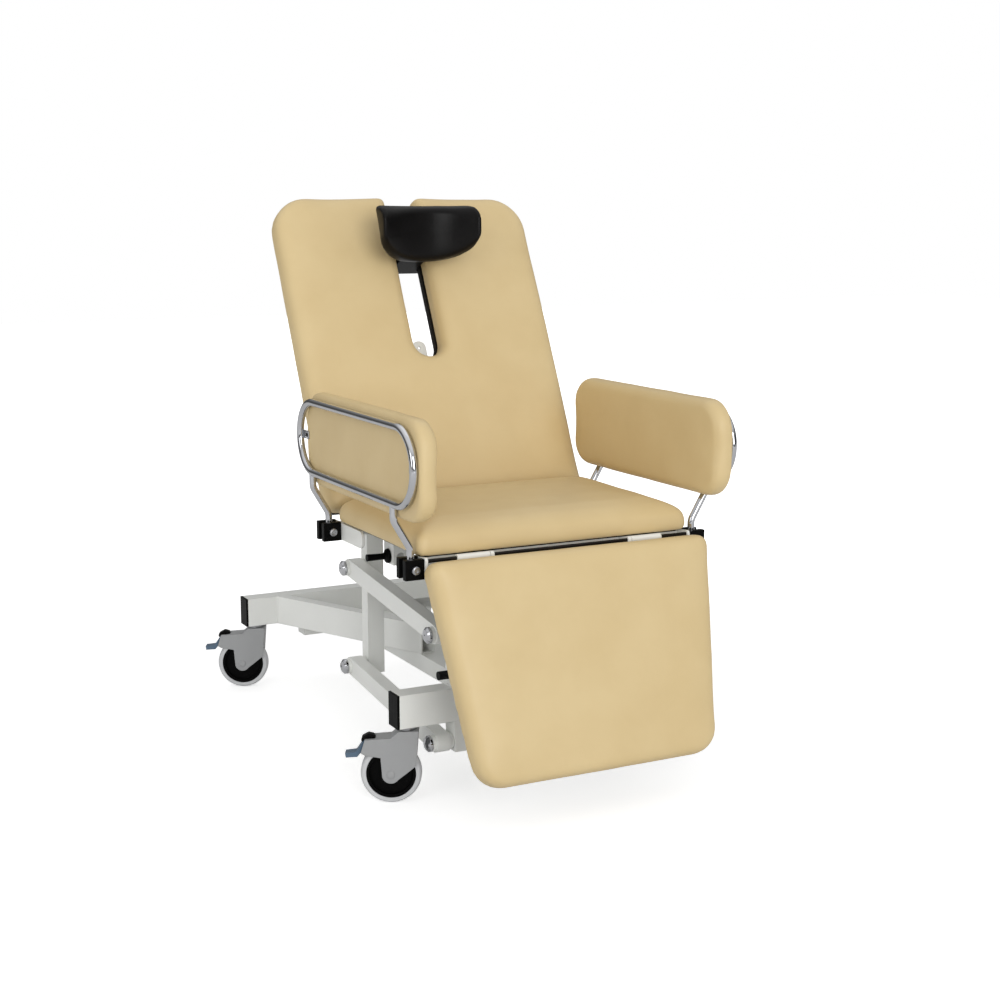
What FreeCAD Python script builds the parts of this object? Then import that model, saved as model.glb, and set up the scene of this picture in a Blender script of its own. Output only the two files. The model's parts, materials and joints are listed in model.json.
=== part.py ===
"""Ear, nose and throat treatment chair on castors: lift, seat, back, leg section, headrest and armrests."""
import FreeCAD, Part
import math
import os
import Sketcher

Vector = FreeCAD.Vector

# Driving dimensions in millimetres and degrees, by sub-assembly
DIMENSIONS = {
    # clearances
    "running_gap": 0.05,
    "side_gap": 1.0,
    "pad_gap": 0.3,
    # floor base
    "front_beam_y": -357.5,
    "beam_spacing": 935.0,
    "beam_length": 652.0,
    "beam_height": 70.0,
    "beam_depth": 45.0,
    "beam_wall": 3.0,
    "beam_bottom": 161.0,
    "cap_flange": 5.0,
    "cap_plug": 16.0,
    "spine_width": 100.0,
    "spine_height": 40.0,
    "spine_wall": 3.0,
    "tie_bar_length": 356.0,
    "brace_width": 30.0,
    "brace_spread": 233.0,
    "brace_reach": 430.0,
    "brace_inner": 30.0,
    # castors
    "stem_inset": 24.0,
    "stem_radius": 10.0,
    "stem_depth": 26.0,
    "stem_collar_radius": 20.0,
    "stem_collar_height": 6.0,
    "wheel_radius": 62.5,
    "wheel_trail": 31.0,
    "wheel_core_radius": 51.0,
    "wheel_width": 30.0,
    "wheel_room": 3.0,
    "axle_radius": 5.0,
    "castor_toe": 27.0,
    "fork_wall": 5.0,
    "pedal_width": 24.0,
    "pedal_thickness": 7.0,
    "pedal_reach": 92.0,
    "pedal_pin_radius": 3.0,
    # parallelogram lift
    "pivot_ahead": 6.0,
    "upper_pivot_z": 345.0,
    "link_height": 229.0,
    "arm_length": 456.0,
    "arm_rise": 6.3,
    "arm_x": 228.0,
    "arm_width": 30.0,
    "arm_height": 40.0,
    "eye_radius": 17.0,
    "eye_length": 46.0,
    "pin_radius": 10.0,
    "pivot_cap_height": 11.0,
    "bracket_width": 45.0,
    "bracket_margin": 20.0,
    "stop_radius": 9.0,
    "stop_length": 26.0,
    "stop_height": 24.0,
    "post_width": 40.0,
    "post_depth": 34.0,
    # lift cylinder
    "cross_tube_radius": 12.0,
    "cross_tube_along": 180.0,
    "rod_eye_gap": 2.6,
    "rod_eye_wall": 8.0,
    "rod_eye_width": 24.0,
    "rod_radius": 11.0,
    "rod_overlap": 80.0,
    "cylinder_radius": 24.0,
    "cylinder_wall": 4.0,
    "cylinder_length": 126.0,
    "foot_behind": 80.0,
    "foot_drop": 170.0,
    "foot_eye_radius": 12.0,
    "foot_pin_radius": 7.0,
    "clevis_wall": 8.0,
    # seat frame
    "frame_top": 522.0,
    "frame_tube": 30.0,
    "frame_wall": 3.0,
    "front_tube_ahead": 55.0,
    "side_plate_thickness": 6.0,
    "side_plate_height": 38.0,
    "rear_plate_reach": 140.0,
    "board_thickness": 12.0,
    "seat_board_margin": 21.0,
    "seat_board_thickness": 6.0,
    "seat_width": 632.0,
    "seat_front_ahead": 95.0,
    "seat_length": 429.0,
    "seat_thickness": 66.0,
    "seat_front_corner": 22.0,
    "seat_rear_corner": 14.0,
    # armrest clamps
    "front_clamp_ahead": 82.0,
    "clamp_spacing": 431.0,
    "clamp_out": 10.0,
    "clamp_drop": 16.0,
    "jaw_size": 40.0,
    "jaw_thickness": 13.0,
    "bolt_radius": 5.0,
    "bolt_head_radius": 8.0,
    "bolt_head_height": 5.0,
    # accessory sockets and knobs
    "socket_behind": 227.0,
    "socket_width": 34.0,
    "socket_length": 50.0,
    "socket_drop": 58.0,
    "socket_bore": 20.0,
    "knob_stud_radius": 4.0,
    "knob_stud_length": 7.0,
    "knob_flange_radius": 16.0,
    "knob_handle_length": 50.0,
    # leg section
    "leg_axis_ahead": 101.0,
    "leg_axis_drop": 1.0,
    "leg_tilt": 16.9,
    "leg_front_offset": 66.6,
    "leg_top_drop": 3.0,
    "leg_length": 452.0,
    "leg_bottom_width": 539.0,
    "leg_width": 648.0,
    "leg_thickness": 54.0,
    "leg_board_margin": 34.0,
    "leg_bottom_corner": 60.0,
    "leg_top_corner": 25.0,
    "hinge_rod_radius": 4.0,
    "knuckle_radius": 7.5,
    "knuckle_length": 72.0,
    "knuckle_x": 200.0,
    "leg_bar_width": 30.0,
    "leg_bar_thickness": 8.0,
    "leg_bar_bulge": 34.0,
    "leg_bar_end": 400.0,
    "leg_cross_bar_at": 360.0,
    # backrest
    "back_axis_behind": 416.0,
    "back_axis_drop": 17.0,
    "back_recline": 26.2,
    "back_front_offset": 80.0,
    "back_width": 648.0,
    "back_thickness": 55.0,
    "back_foot": 12.0,
    "back_top": 768.0,
    "back_top_corner": 88.0,
    "back_foot_corner": 30.0,
    "back_board_margin": 20.0,
    "slot_width": 70.0,
    "slot_depth": 403.0,
    "back_tube_width": 30.0,
    "back_tube_depth": 25.0,
    "back_tube_top": 690.0,
    "back_tube_gap": 2.0,
    "back_cross_below": 58.0,
    "back_pin_radius": 7.0,
    "tab_width": 34.0,
    "tab_thickness": 4.0,
    "tab_rise": 55.0,
    # headrest
    "guide_radius": 6.0,
    "guide_x": 57.0,
    "guide_end": 24.0,
    "guide_stop_size": 18.0,
    "carriage_rise": 614.0,
    "carriage_height": 28.0,
    "carriage_width": 64.0,
    "carriage_plate_margin": 12.0,
    "head_pin_ahead": 24.0,
    "head_pin_rise": 649.8,
    "head_pin_radius": 4.0,
    "head_cheek": 6.0,
    "head_lug_width": 26.0,
    "head_lug_radius": 10.0,
    "headrest_width": 242.0,
    "headrest_standoff": 16.0,
    "headrest_depth": 108.0,
    "headrest_thickness": 48.0,
    "headrest_rise": 69.0,
    "headrest_fall": 64.0,
    "headrest_corner": 18.0,
    "headrest_sweep": 40.0,
    "headrest_tip_round": 6.0,
    "headrest_slope": 0.45,
    "headrest_wing_lift": 65.0,
    "headrest_wing_round": 40.0,
    # armrests
    "arm_tube_radius": 8.0,
    "arm_leg_radius": 7.5,
    "loop_out": 35.0,
    "loop_front_ahead": 97.0,
    "loop_length": 598.0,
    "loop_bottom_rise": 130.0,
    "loop_height": 152.0,
    "leg_straight_rise": 39.0,
    "leg_bend_rise": 98.0,
    "leg_bend_radius": 26.0,
    "arm_eye_radius": 15.0,
    "arm_pad_length": 605.0,
    "arm_pad_height": 208.0,
    "arm_pad_thickness": 42.0,
    "arm_pad_corner": 64.0,
    "arm_pad_ahead": 28.5,
    "arm_pad_drop": 5.0,
}

# Cushion sections from the flat side to the crown: share of the thickness, inset of the outline
SEAT_LEVELS = ((0, 4), (0.07, 1), (0.2, 0), (0.38, 0.5), (0.55, 4), (0.69, 12), (0.81, 27), (0.92, 60),
               (1, 130))
PAD_LEVELS = ((0, 8), (0.1, 3), (0.3, 0.5), (0.55, 0), (0.72, 3), (0.85, 9), (0.94, 22), (1, 80))
ARM_LEVELS = ((0, 12), (0.05, 7), (0.15, 3), (0.32, 0.5), (0.6, 0), (0.78, 4), (0.9, 12), (0.97, 28),
              (1, 60))


class Size:
    """A number that keeps the sheet formula it comes from."""

    def __init__(self, number, formula):
        self.number = number
        self.formula = formula

    def __add__(self, other):
        other = as_size(other)
        return Size(self.number + other.number, f"({self.formula} + {other.formula})")

    def __sub__(self, other):
        other = as_size(other)
        return Size(self.number - other.number, f"({self.formula} - {other.formula})")

    def __mul__(self, other):
        other = as_size(other)
        return Size(self.number * other.number, f"({self.formula} * {other.formula})")

    def __truediv__(self, other):
        other = as_size(other)
        return Size(self.number / other.number, f"({self.formula} / {other.formula})")

    def __radd__(self, other):
        return as_size(other) + self

    def __rsub__(self, other):
        return as_size(other) - self

    def __rmul__(self, other):
        return as_size(other) * self

    def __neg__(self):
        return as_size(0) - self


def as_size(item):
    """Give a plain number the same form as a size from the sheet."""
    if isinstance(item, Size):
        return item
    return Size(float(item), f"({float(item):.9g})")


def sine(angle):
    return Size(math.sin(math.radians(angle.number)), f"sin({angle.formula})")


def cosine(angle):
    return Size(math.cos(math.radians(angle.number)), f"cos({angle.formula})")


def length_of(first, second):
    """Length of the long side of a right triangle."""
    square = first * first + second * second
    return Size(math.sqrt(square.number), f"sqrt({square.formula})")


def direction_of(rise, run):
    """Angle in degrees whose tangent is rise over run."""
    angle = math.degrees(math.atan2(rise.number, run.number))
    return Size(angle, f"(atan2({rise.formula}; {run.formula}) / 1 deg)")


class Sheet:
    """The spreadsheet of driving dimensions, read as attributes."""

    def __init__(self, document):
        self.table = document.addObject("Spreadsheet::Sheet", "sizes")
        for row, (alias, number) in enumerate(DIMENSIONS.items(), start=1):
            self.table.set(f"A{row}", alias)
            self.table.set(f"B{row}", f"{number:g}")
            self.table.setAlias(f"B{row}", alias)
        document.recompute()

    def __getattr__(self, alias):
        return Size(float(self.table.get(alias)), f"sizes.{alias}")


doc = FreeCAD.newDocument("ent_chair")
s = Sheet(doc)
sub_parts = []


# Document helpers

def bind(feature, **sizes):
    """Tie properties of a feature to sheet formulas."""
    for name, size in sizes.items():
        feature.setExpression(name, as_size(size).formula)
    return feature


def place(feature, x=0, y=0, z=0, axis=(1, 0, 0), angle=0):
    """Tie a feature's placement to sheet formulas."""
    spot = "; ".join(as_size(value).formula for value in (x, y, z))
    line = "; ".join(str(value) for value in axis)
    turn = as_size(angle).formula
    feature.setExpression("Placement", f"placement(vector({spot}); rotation(vector({line}); {turn}))")
    return feature


def sub_part(label, feature):
    """Give a finished piece its name and put it on the list of pieces to write."""
    feature.Label = label
    sub_parts.append(feature)
    return feature


def block(x, y, z, length, width, height):
    """Box with its low corner at x, y, z."""
    box = bind(doc.addObject("Part::Box", "block"), Length=length, Width=width, Height=height)
    return place(box, x, y, z)


def rod_x(radius, start, length, y, z):
    """Round bar along X."""
    rod = bind(doc.addObject("Part::Cylinder", "rod"), Radius=radius, Height=length)
    return place(rod, start, y, z, (0, 1, 0), 90)


def rod_y(radius, x, start, length, z):
    """Round bar along Y."""
    rod = bind(doc.addObject("Part::Cylinder", "rod"), Radius=radius, Height=length)
    return place(rod, x, start, z, (1, 0, 0), -90)


def rod_z(radius, x, y, start, length):
    """Round bar along Z."""
    rod = bind(doc.addObject("Part::Cylinder", "rod"), Radius=radius, Height=length)
    return place(rod, x, y, start)


def fuse(*pieces):
    """One solid from several."""
    fusion = doc.addObject("Part::MultiFuse", "fusion")
    fusion.Shapes = list(pieces)
    fusion.Refine = True
    return fusion


def cut(base, *tools):
    """The base with each tool taken out of it."""
    for tool in tools:
        result = doc.addObject("Part::Cut", "cut")
        result.Base = base
        result.Tool = tool
        base = result
    return base


def together(*pieces):
    """Separate solids kept as one group."""
    group = doc.addObject("Part::Compound", "group")
    group.Links = list(pieces)
    return group


def mirrored(piece):
    """The same piece on the other side of the chair."""
    mirror = doc.addObject("Part::Mirroring", "mirror")
    mirror.Source = piece
    mirror.Base = Vector(0, 0, 0)
    mirror.Normal = Vector(1, 0, 0)
    return mirror


def both_sides(piece):
    return together(piece, mirrored(piece))


def new_sketch(body, plane):
    """Sketch on one of the body's own origin planes."""
    sketch = body.newObject("Sketcher::SketchObject", "sketch")
    support = next(item for item in body.Origin.OriginFeatures if item.Role == plane)
    sketch.AttachmentSupport = [(support, "")]
    sketch.MapMode = "FlatFace"
    return sketch


def draw_outline(sketch, points):
    """Closed straight-sided outline, each corner held by two sheet formulas."""
    points = [(as_size(x), as_size(y)) for x, y in points]
    first = sketch.GeometryCount
    count = len(points)
    for index, (x, y) in enumerate(points):
        next_x, next_y = points[(index + 1) % count]
        start = Vector(x.number, y.number, 0)
        end = Vector(next_x.number, next_y.number, 0)
        sketch.addGeometry(Part.LineSegment(start, end), False)
    for index in range(count):
        following = first + (index + 1) % count
        sketch.addConstraint(Sketcher.Constraint("Coincident", first + index, 2, following, 1))
    for index, (x, y) in enumerate(points):
        for kind, value in (("DistanceX", x), ("DistanceY", y)):
            rule = Sketcher.Constraint(kind, -1, 1, first + index, 1, value.number)
            sketch.setExpression(f"Constraints[{sketch.addConstraint(rule)}]", value.formula)


def draw_circle(sketch, x, y, radius):
    """Circle held by its centre and radius."""
    x, y, radius = as_size(x), as_size(y), as_size(radius)
    centre = Vector(x.number, y.number, 0)
    circle = sketch.addGeometry(Part.Circle(centre, Vector(0, 0, 1), radius.number), False)
    rules = (
        (Sketcher.Constraint("DistanceX", -1, 1, circle, 3, x.number), x),
        (Sketcher.Constraint("DistanceY", -1, 1, circle, 3, y.number), y),
        (Sketcher.Constraint("Radius", circle, radius.number), radius),
    )
    for rule, value in rules:
        sketch.setExpression(f"Constraints[{sketch.addConstraint(rule)}]", value.formula)


def plate(outline, thickness, plane, holes=()):
    """Flat piece cut to an outline, its thickness split evenly about the plane."""
    body = doc.addObject("PartDesign::Body", "plate")
    sketch = new_sketch(body, plane)
    draw_outline(sketch, outline)
    for hole in holes:
        draw_circle(sketch, *hole)
    pad = body.newObject("PartDesign::Pad", "pad")
    pad.Profile = sketch
    pad.SideType = "Symmetric"
    bind(pad, Length=thickness)
    return body


def round_corners(body, radius, picked):
    """Round those straight edges of a plate that run through its thickness and are picked."""
    doc.recompute()
    pad = body.Tip
    normal = pad.Profile[0].Placement.Rotation.multVec(Vector(0, 0, 1))
    names = []
    for index, edge in enumerate(pad.Shape.Edges, start=1):
        if edge.Curve.TypeId != "Part::GeomLine":
            continue
        upright = abs(edge.tangentAt(edge.FirstParameter).dot(normal)) > 0.99
        if upright and picked(edge.CenterOfMass):
            names.append(f"Edge{index}")
    fillet = body.newObject("PartDesign::Fillet", "fillet")
    fillet.Base = (pad, names)
    bind(fillet, Radius=radius)
    body.Tip = fillet
    return body


TURNING = {"X": ("XY_Plane", "H_Axis"), "Y": ("XY_Plane", "V_Axis"), "Z": ("XZ_Plane", "V_Axis")}


def turned(profile, axis):
    """Round piece from (radius, distance along the axis) points."""
    plane, line = TURNING[axis]
    body = doc.addObject("PartDesign::Body", "turned")
    sketch = new_sketch(body, plane)
    draw_outline(sketch, [(along, radius) if axis == "X" else (radius, along) for radius, along in profile])
    revolution = body.newObject("PartDesign::Revolution", "revolution")
    revolution.Profile = sketch
    revolution.ReferenceAxis = (sketch, [line])
    revolution.Angle = 360
    return body


def shaped(shape):
    """Document object for a lofted or bent form."""
    feature = doc.addObject("Part::Feature", "form")
    feature.Shape = shape
    return feature


# Lofted and bent forms, worked out from sheet values

def inset_corners(corners, inset):
    """Corners of a convex outline, listed anticlockwise, moved inwards alike on every side."""
    count = len(corners)
    moved = []
    for index, corner in enumerate(corners):
        before = (corner - corners[index - 1]).normalize()
        after = (corners[(index + 1) % count] - corner).normalize()
        bisector = Vector(-before.y - after.y, before.x + after.x, 0)
        moved.append(corner + bisector * (inset / (1 + before.dot(after))))
    return moved


def rounded_wire(corners, radii, level):
    """Closed wire of lines and arcs at a level above the drawing plane."""
    count = len(corners)
    arcs = []
    for index, corner in enumerate(corners):
        back = (corners[index - 1] - corner).normalize()
        ahead = (corners[(index + 1) % count] - corner).normalize()
        half_angle = back.getAngle(ahead) / 2
        reach = radii[index] / math.tan(half_angle)
        inward = (back + ahead).normalize()
        middle = corner + inward * (radii[index] / math.sin(half_angle) - radii[index])
        arcs.append([corner + back * reach, middle, corner + ahead * reach])
    lift = Vector(0, 0, level)
    edges = []
    for index, arc in enumerate(arcs):
        edges.append(Part.Arc(*[point + lift for point in arc]).toShape())
        edges.append(Part.makeLine(arc[2] + lift, arcs[(index + 1) % count][0] + lift))
    return Part.Wire(edges)


def cushion(corners, radii, thickness, levels):
    """Crowned pad: levels are (share of the thickness, inset) pairs from its flat side to its crown."""
    wires = []
    for share, inset in levels:
        tight = [max(radius - inset, radius * 0.35) for radius in radii]
        wires.append(rounded_wire(inset_corners(corners, inset), tight, share * thickness))
    return Part.makeLoft(wires, True, True)


def rectangle(width, low, high, far_width=None):
    """Four corners, anticlockwise, of a pad that may be narrower at its low end."""
    far_width = far_width or width
    return [
        Vector(-far_width / 2, low, 0),
        Vector(far_width / 2, low, 0),
        Vector(width / 2, high, 0),
        Vector(-width / 2, high, 0),
    ]


def bent_path(points, bend_radius):
    """Wire of straight runs joined by tangent arcs."""
    edges = []
    start = points[0]
    for index in range(1, len(points) - 1):
        back = (points[index - 1] - points[index]).normalize()
        ahead = (points[index + 1] - points[index]).normalize()
        half_angle = back.getAngle(ahead) / 2
        reach = bend_radius / math.tan(half_angle)
        inward = (back + ahead).normalize()
        middle = points[index] + inward * (bend_radius / math.sin(half_angle) - bend_radius)
        arc_start = points[index] + back * reach
        arc_end = points[index] + ahead * reach
        if arc_start.distanceToPoint(start) > 1e-6:
            edges.append(Part.makeLine(start, arc_start))
        edges.append(Part.Arc(arc_start, middle, arc_end).toShape())
        start = arc_end
    edges.append(Part.makeLine(start, points[-1]))
    return Part.Wire(edges)


def bent_tube(points, bend_radius, radius):
    """Round bar along a bent path."""
    path = bent_path(points, bend_radius)
    section = Part.Wire([Part.makeCircle(radius, points[0], points[1] - points[0])])
    return path.makePipe(Part.Face(section))


def bent_strip(points, bend_radius, width, thickness):
    """Flat bar along a path in the YZ plane, its width across X."""
    path = bent_path(points, bend_radius)
    side = Vector(width / 2, 0, 0)
    up = Vector(1, 0, 0).cross(points[1] - points[0]).normalize() * (thickness / 2)
    corners = [points[0] + side + up, points[0] - side + up, points[0] - side - up, points[0] + side - up]
    section = Part.makePolygon(corners + corners[:1])
    return path.makePipe(Part.Face(section))


# Places that several sub-parts share

rear_beam_y = s.front_beam_y + s.beam_spacing
beam_half = s.beam_length / 2
beam_top = s.beam_bottom + s.beam_height
front_pivot_y = s.front_beam_y - s.pivot_ahead
lower_pivot_z = s.upper_pivot_z - s.link_height
arm_run = s.arm_length * cosine(s.arm_rise)
arm_climb = s.arm_length * sine(s.arm_rise)
rear_pivot_y = front_pivot_y + arm_run
link_face = s.arm_x - s.eye_length / 2 - s.side_gap
pin_end = s.arm_x + s.eye_length / 2 + s.side_gap
post_inner = link_face - s.post_width

frame_bottom = s.frame_top - s.frame_tube
seat_base = s.frame_top + s.seat_board_thickness
front_clamp_y = s.front_beam_y - s.front_clamp_ahead
rear_clamp_y = front_clamp_y + s.clamp_spacing
clamp_x = s.seat_width / 2 + s.clamp_out
clamp_z = s.frame_top - s.clamp_drop
loop_x = clamp_x + s.loop_out
jaw_inner = clamp_x - s.jaw_size / 2
plate_x = jaw_inner - s.side_plate_thickness / 2
leg_axis_y = s.front_beam_y - s.leg_axis_ahead
leg_axis_z = s.frame_top - s.leg_axis_drop
back_axis_y = s.front_beam_y + s.back_axis_behind
back_axis_z = s.frame_top - s.back_axis_drop
seat_front_y = s.front_beam_y - s.seat_front_ahead


def leg_pose(feature, along=0, behind=0, extra_turn=0):
    """Set a piece of the leg section at a spot measured along and behind its hinge line."""
    y = leg_axis_y + as_size(behind) * cosine(s.leg_tilt) + as_size(along) * sine(s.leg_tilt)
    z = leg_axis_z - as_size(behind) * sine(s.leg_tilt) + as_size(along) * cosine(s.leg_tilt)
    return place(feature, 0, y, z, (1, 0, 0), as_size(extra_turn) - s.leg_tilt)


def back_spot(along, behind):
    """World Y and Z of a spot measured along and behind the back's hinge line."""
    y = back_axis_y + as_size(behind) * cosine(s.back_recline) + as_size(along) * sine(s.back_recline)
    z = back_axis_z - as_size(behind) * sine(s.back_recline) + as_size(along) * cosine(s.back_recline)
    return y, z


def back_pose(feature, along=0, behind=0, extra_turn=0):
    """Set a piece of the back at a spot measured along and behind its hinge line."""
    y, z = back_spot(along, behind)
    return place(feature, 0, y, z, (1, 0, 0), as_size(extra_turn) - s.back_recline)


# Floor base

def crossbeam(label, y):
    """Hollow rectangular beam across the chair."""
    half_depth = s.beam_depth / 2
    inner_half = half_depth - s.beam_wall
    body = doc.addObject("PartDesign::Body", "beam")
    sketch = new_sketch(body, "YZ_Plane")
    low, high = s.beam_bottom, beam_top
    draw_outline(sketch, [(-half_depth, low), (half_depth, low), (half_depth, high), (-half_depth, high)])
    low, high = s.beam_bottom + s.beam_wall, beam_top - s.beam_wall
    draw_outline(sketch, [(-inner_half, low), (inner_half, low), (inner_half, high), (-inner_half, high)])
    pad = body.newObject("PartDesign::Pad", "pad")
    pad.Profile = sketch
    pad.SideType = "Symmetric"
    bind(pad, Length=s.beam_length)
    sub_part(label, place(body, 0, y, 0))


def beam_end_caps():
    """Black plugs that close both ends of both beams."""
    caps = []
    for y in (s.front_beam_y, rear_beam_y):
        flange = block(
            beam_half, y - s.beam_depth / 2, s.beam_bottom, s.cap_flange, s.beam_depth, s.beam_height)
        inset = s.beam_wall + s.running_gap
        plug = block(
            beam_half - s.cap_plug, y - s.beam_depth / 2 + inset, s.beam_bottom + inset,
            s.cap_plug, s.beam_depth - 2 * inset, s.beam_height - 2 * inset)
        cap = fuse(flange, plug)
        caps += [cap, mirrored(cap)]
    sub_part("beam_end_caps", together(*caps))


def base_spine():
    """Flat hollow tube under both beams, its ends closed by welded plates."""
    low = s.beam_bottom - s.spine_height
    start = s.front_beam_y - s.beam_depth / 2
    length = s.beam_spacing
    tube = block(-s.spine_width / 2, start, low, s.spine_width, length, s.spine_height)
    bore = block(
        -s.spine_width / 2 + s.spine_wall, start + s.spine_wall, low + s.spine_wall,
        s.spine_width - 2 * s.spine_wall, length - 2 * s.spine_wall, s.spine_height - 2 * s.spine_wall)
    sub_part("base_spine", cut(tube, bore))


def cylinder_clevis():
    """Two ears on the spine and the pin through the cylinder's foot."""
    foot_y = front_pivot_y + s.foot_behind
    foot_z = s.upper_pivot_z - s.foot_drop
    gap = s.rod_eye_width / 2 + s.side_gap
    half = s.foot_eye_radius + s.clevis_wall
    top = foot_z + s.foot_eye_radius
    outline = [(-half, s.beam_bottom), (half, s.beam_bottom),
               (s.foot_eye_radius, top), (-s.foot_eye_radius, top)]
    ear = plate(outline, s.clevis_wall, "YZ_Plane", [(0, foot_z, s.foot_pin_radius + s.running_gap)])
    place(ear, gap + s.clevis_wall / 2, foot_y, 0)
    pin_half = gap + s.clevis_wall + s.side_gap
    pin = rod_x(s.foot_pin_radius, -pin_half, 2 * pin_half, foot_y, foot_z)
    sub_part("cylinder_clevis", together(ear, mirrored(ear), pin))


def rear_tie_bar():
    """Short closed bar under the rear beam, where the spine ends."""
    low = s.beam_bottom - s.spine_height
    y = rear_beam_y - s.beam_depth / 2
    bar = block(-s.tie_bar_length / 2, y, low, s.tie_bar_length, s.beam_depth, s.spine_height)
    bore = block(
        -s.tie_bar_length / 2 + s.spine_wall, y + s.spine_wall, low + s.spine_wall,
        s.tie_bar_length - 2 * s.spine_wall, s.beam_depth - 2 * s.spine_wall,
        s.spine_height - 2 * s.spine_wall)
    sub_part("rear_tie_bar", cut(bar, bore))


def rear_braces():
    """Two diagonal tubes from the rear beam in to the spine."""
    run = s.brace_spread - s.brace_inner
    slant = length_of(run, s.brace_reach) / s.brace_reach
    rear = rear_beam_y - s.beam_depth / 2
    front = rear - s.brace_reach
    layers = []
    for wall in (as_size(0), s.beam_wall):
        half = (s.brace_width / 2 - wall) * slant
        outline = [(s.brace_spread - half, rear), (s.brace_spread + half, rear),
                   (s.brace_inner + half, front), (s.brace_inner - half, front)]
        layer = plate(outline, s.beam_height - 2 * wall, "XY_Plane")
        layers.append(place(layer, 0, 0, s.beam_bottom + s.beam_height / 2))
    sub_part("rear_braces", both_sides(cut(*layers)))


def link_brackets():
    """Welded blocks above and below the front beam that hold the fixed pivots of the lift arms."""
    half = s.beam_depth / 2
    hole = s.pin_radius + s.running_gap
    top = s.upper_pivot_z + s.bracket_margin
    foot = lower_pivot_z - s.bracket_margin
    ahead = -s.pivot_ahead
    upper = plate(
        [(-half, beam_top), (half, beam_top),
         (ahead + s.bracket_margin, top), (ahead - s.bracket_margin, top)],
        s.bracket_width, "YZ_Plane", [(ahead, s.upper_pivot_z, hole)])
    lower = plate(
        [(ahead - s.bracket_margin, foot), (ahead + s.bracket_margin, foot),
         (half, s.beam_bottom), (-half, s.beam_bottom)],
        s.bracket_width, "YZ_Plane", [(ahead, lower_pivot_z, hole)])
    for bracket in (upper, lower):
        place(bracket, link_face - s.bracket_width / 2, s.front_beam_y, 0)
    sub_part("link_brackets", together(upper, mirrored(upper), lower, mirrored(lower)))


def pivot_pins(label, inner_face, spots):
    """Steel pins of one pair of pivots on both sides."""
    pins = [rod_x(s.pin_radius, inner_face, pin_end - inner_face, y, z) for y, z in spots]
    sub_part(label, together(*[side for pin in pins for side in (pin, mirrored(pin))]))


def pivot_caps(label, spots):
    """Domed chrome caps on the outer ends of the pins."""
    caps = []
    shoulder = s.pivot_cap_height * 0.45
    for y, z in spots:
        profile = [(0, 0), (s.eye_radius, 0), (s.eye_radius, shoulder),
                   (s.eye_radius * 0.72, s.pivot_cap_height * 0.86), (0, s.pivot_cap_height)]
        cap = place(turned(profile, "X"), pin_end, y, z)
        caps += [cap, mirrored(cap)]
    sub_part(label, together(*caps))


def stop_buffers():
    """Black rubber buffers on the outer faces of the upper brackets."""
    buffer = rod_x(s.stop_radius, link_face, s.stop_length, s.front_beam_y, beam_top + s.stop_height)
    sub_part("stop_buffers", both_sides(buffer))


# Castors

def castor_stems():
    """Swivel stems with collars under the beam ends."""
    stems = []
    for y in (s.front_beam_y, rear_beam_y):
        collar_low = s.beam_bottom - s.stem_collar_height
        profile = [(0, collar_low - s.stem_depth), (s.stem_radius, collar_low - s.stem_depth),
                   (s.stem_radius, collar_low), (s.stem_collar_radius, collar_low),
                   (s.stem_collar_radius, s.beam_bottom), (0, s.beam_bottom)]
        stem = place(turned(profile, "Z"), beam_half - s.stem_inset, y, 0)
        stems += [stem, mirrored(stem)]
    sub_part("castor_stems", together(*stems))


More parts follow.
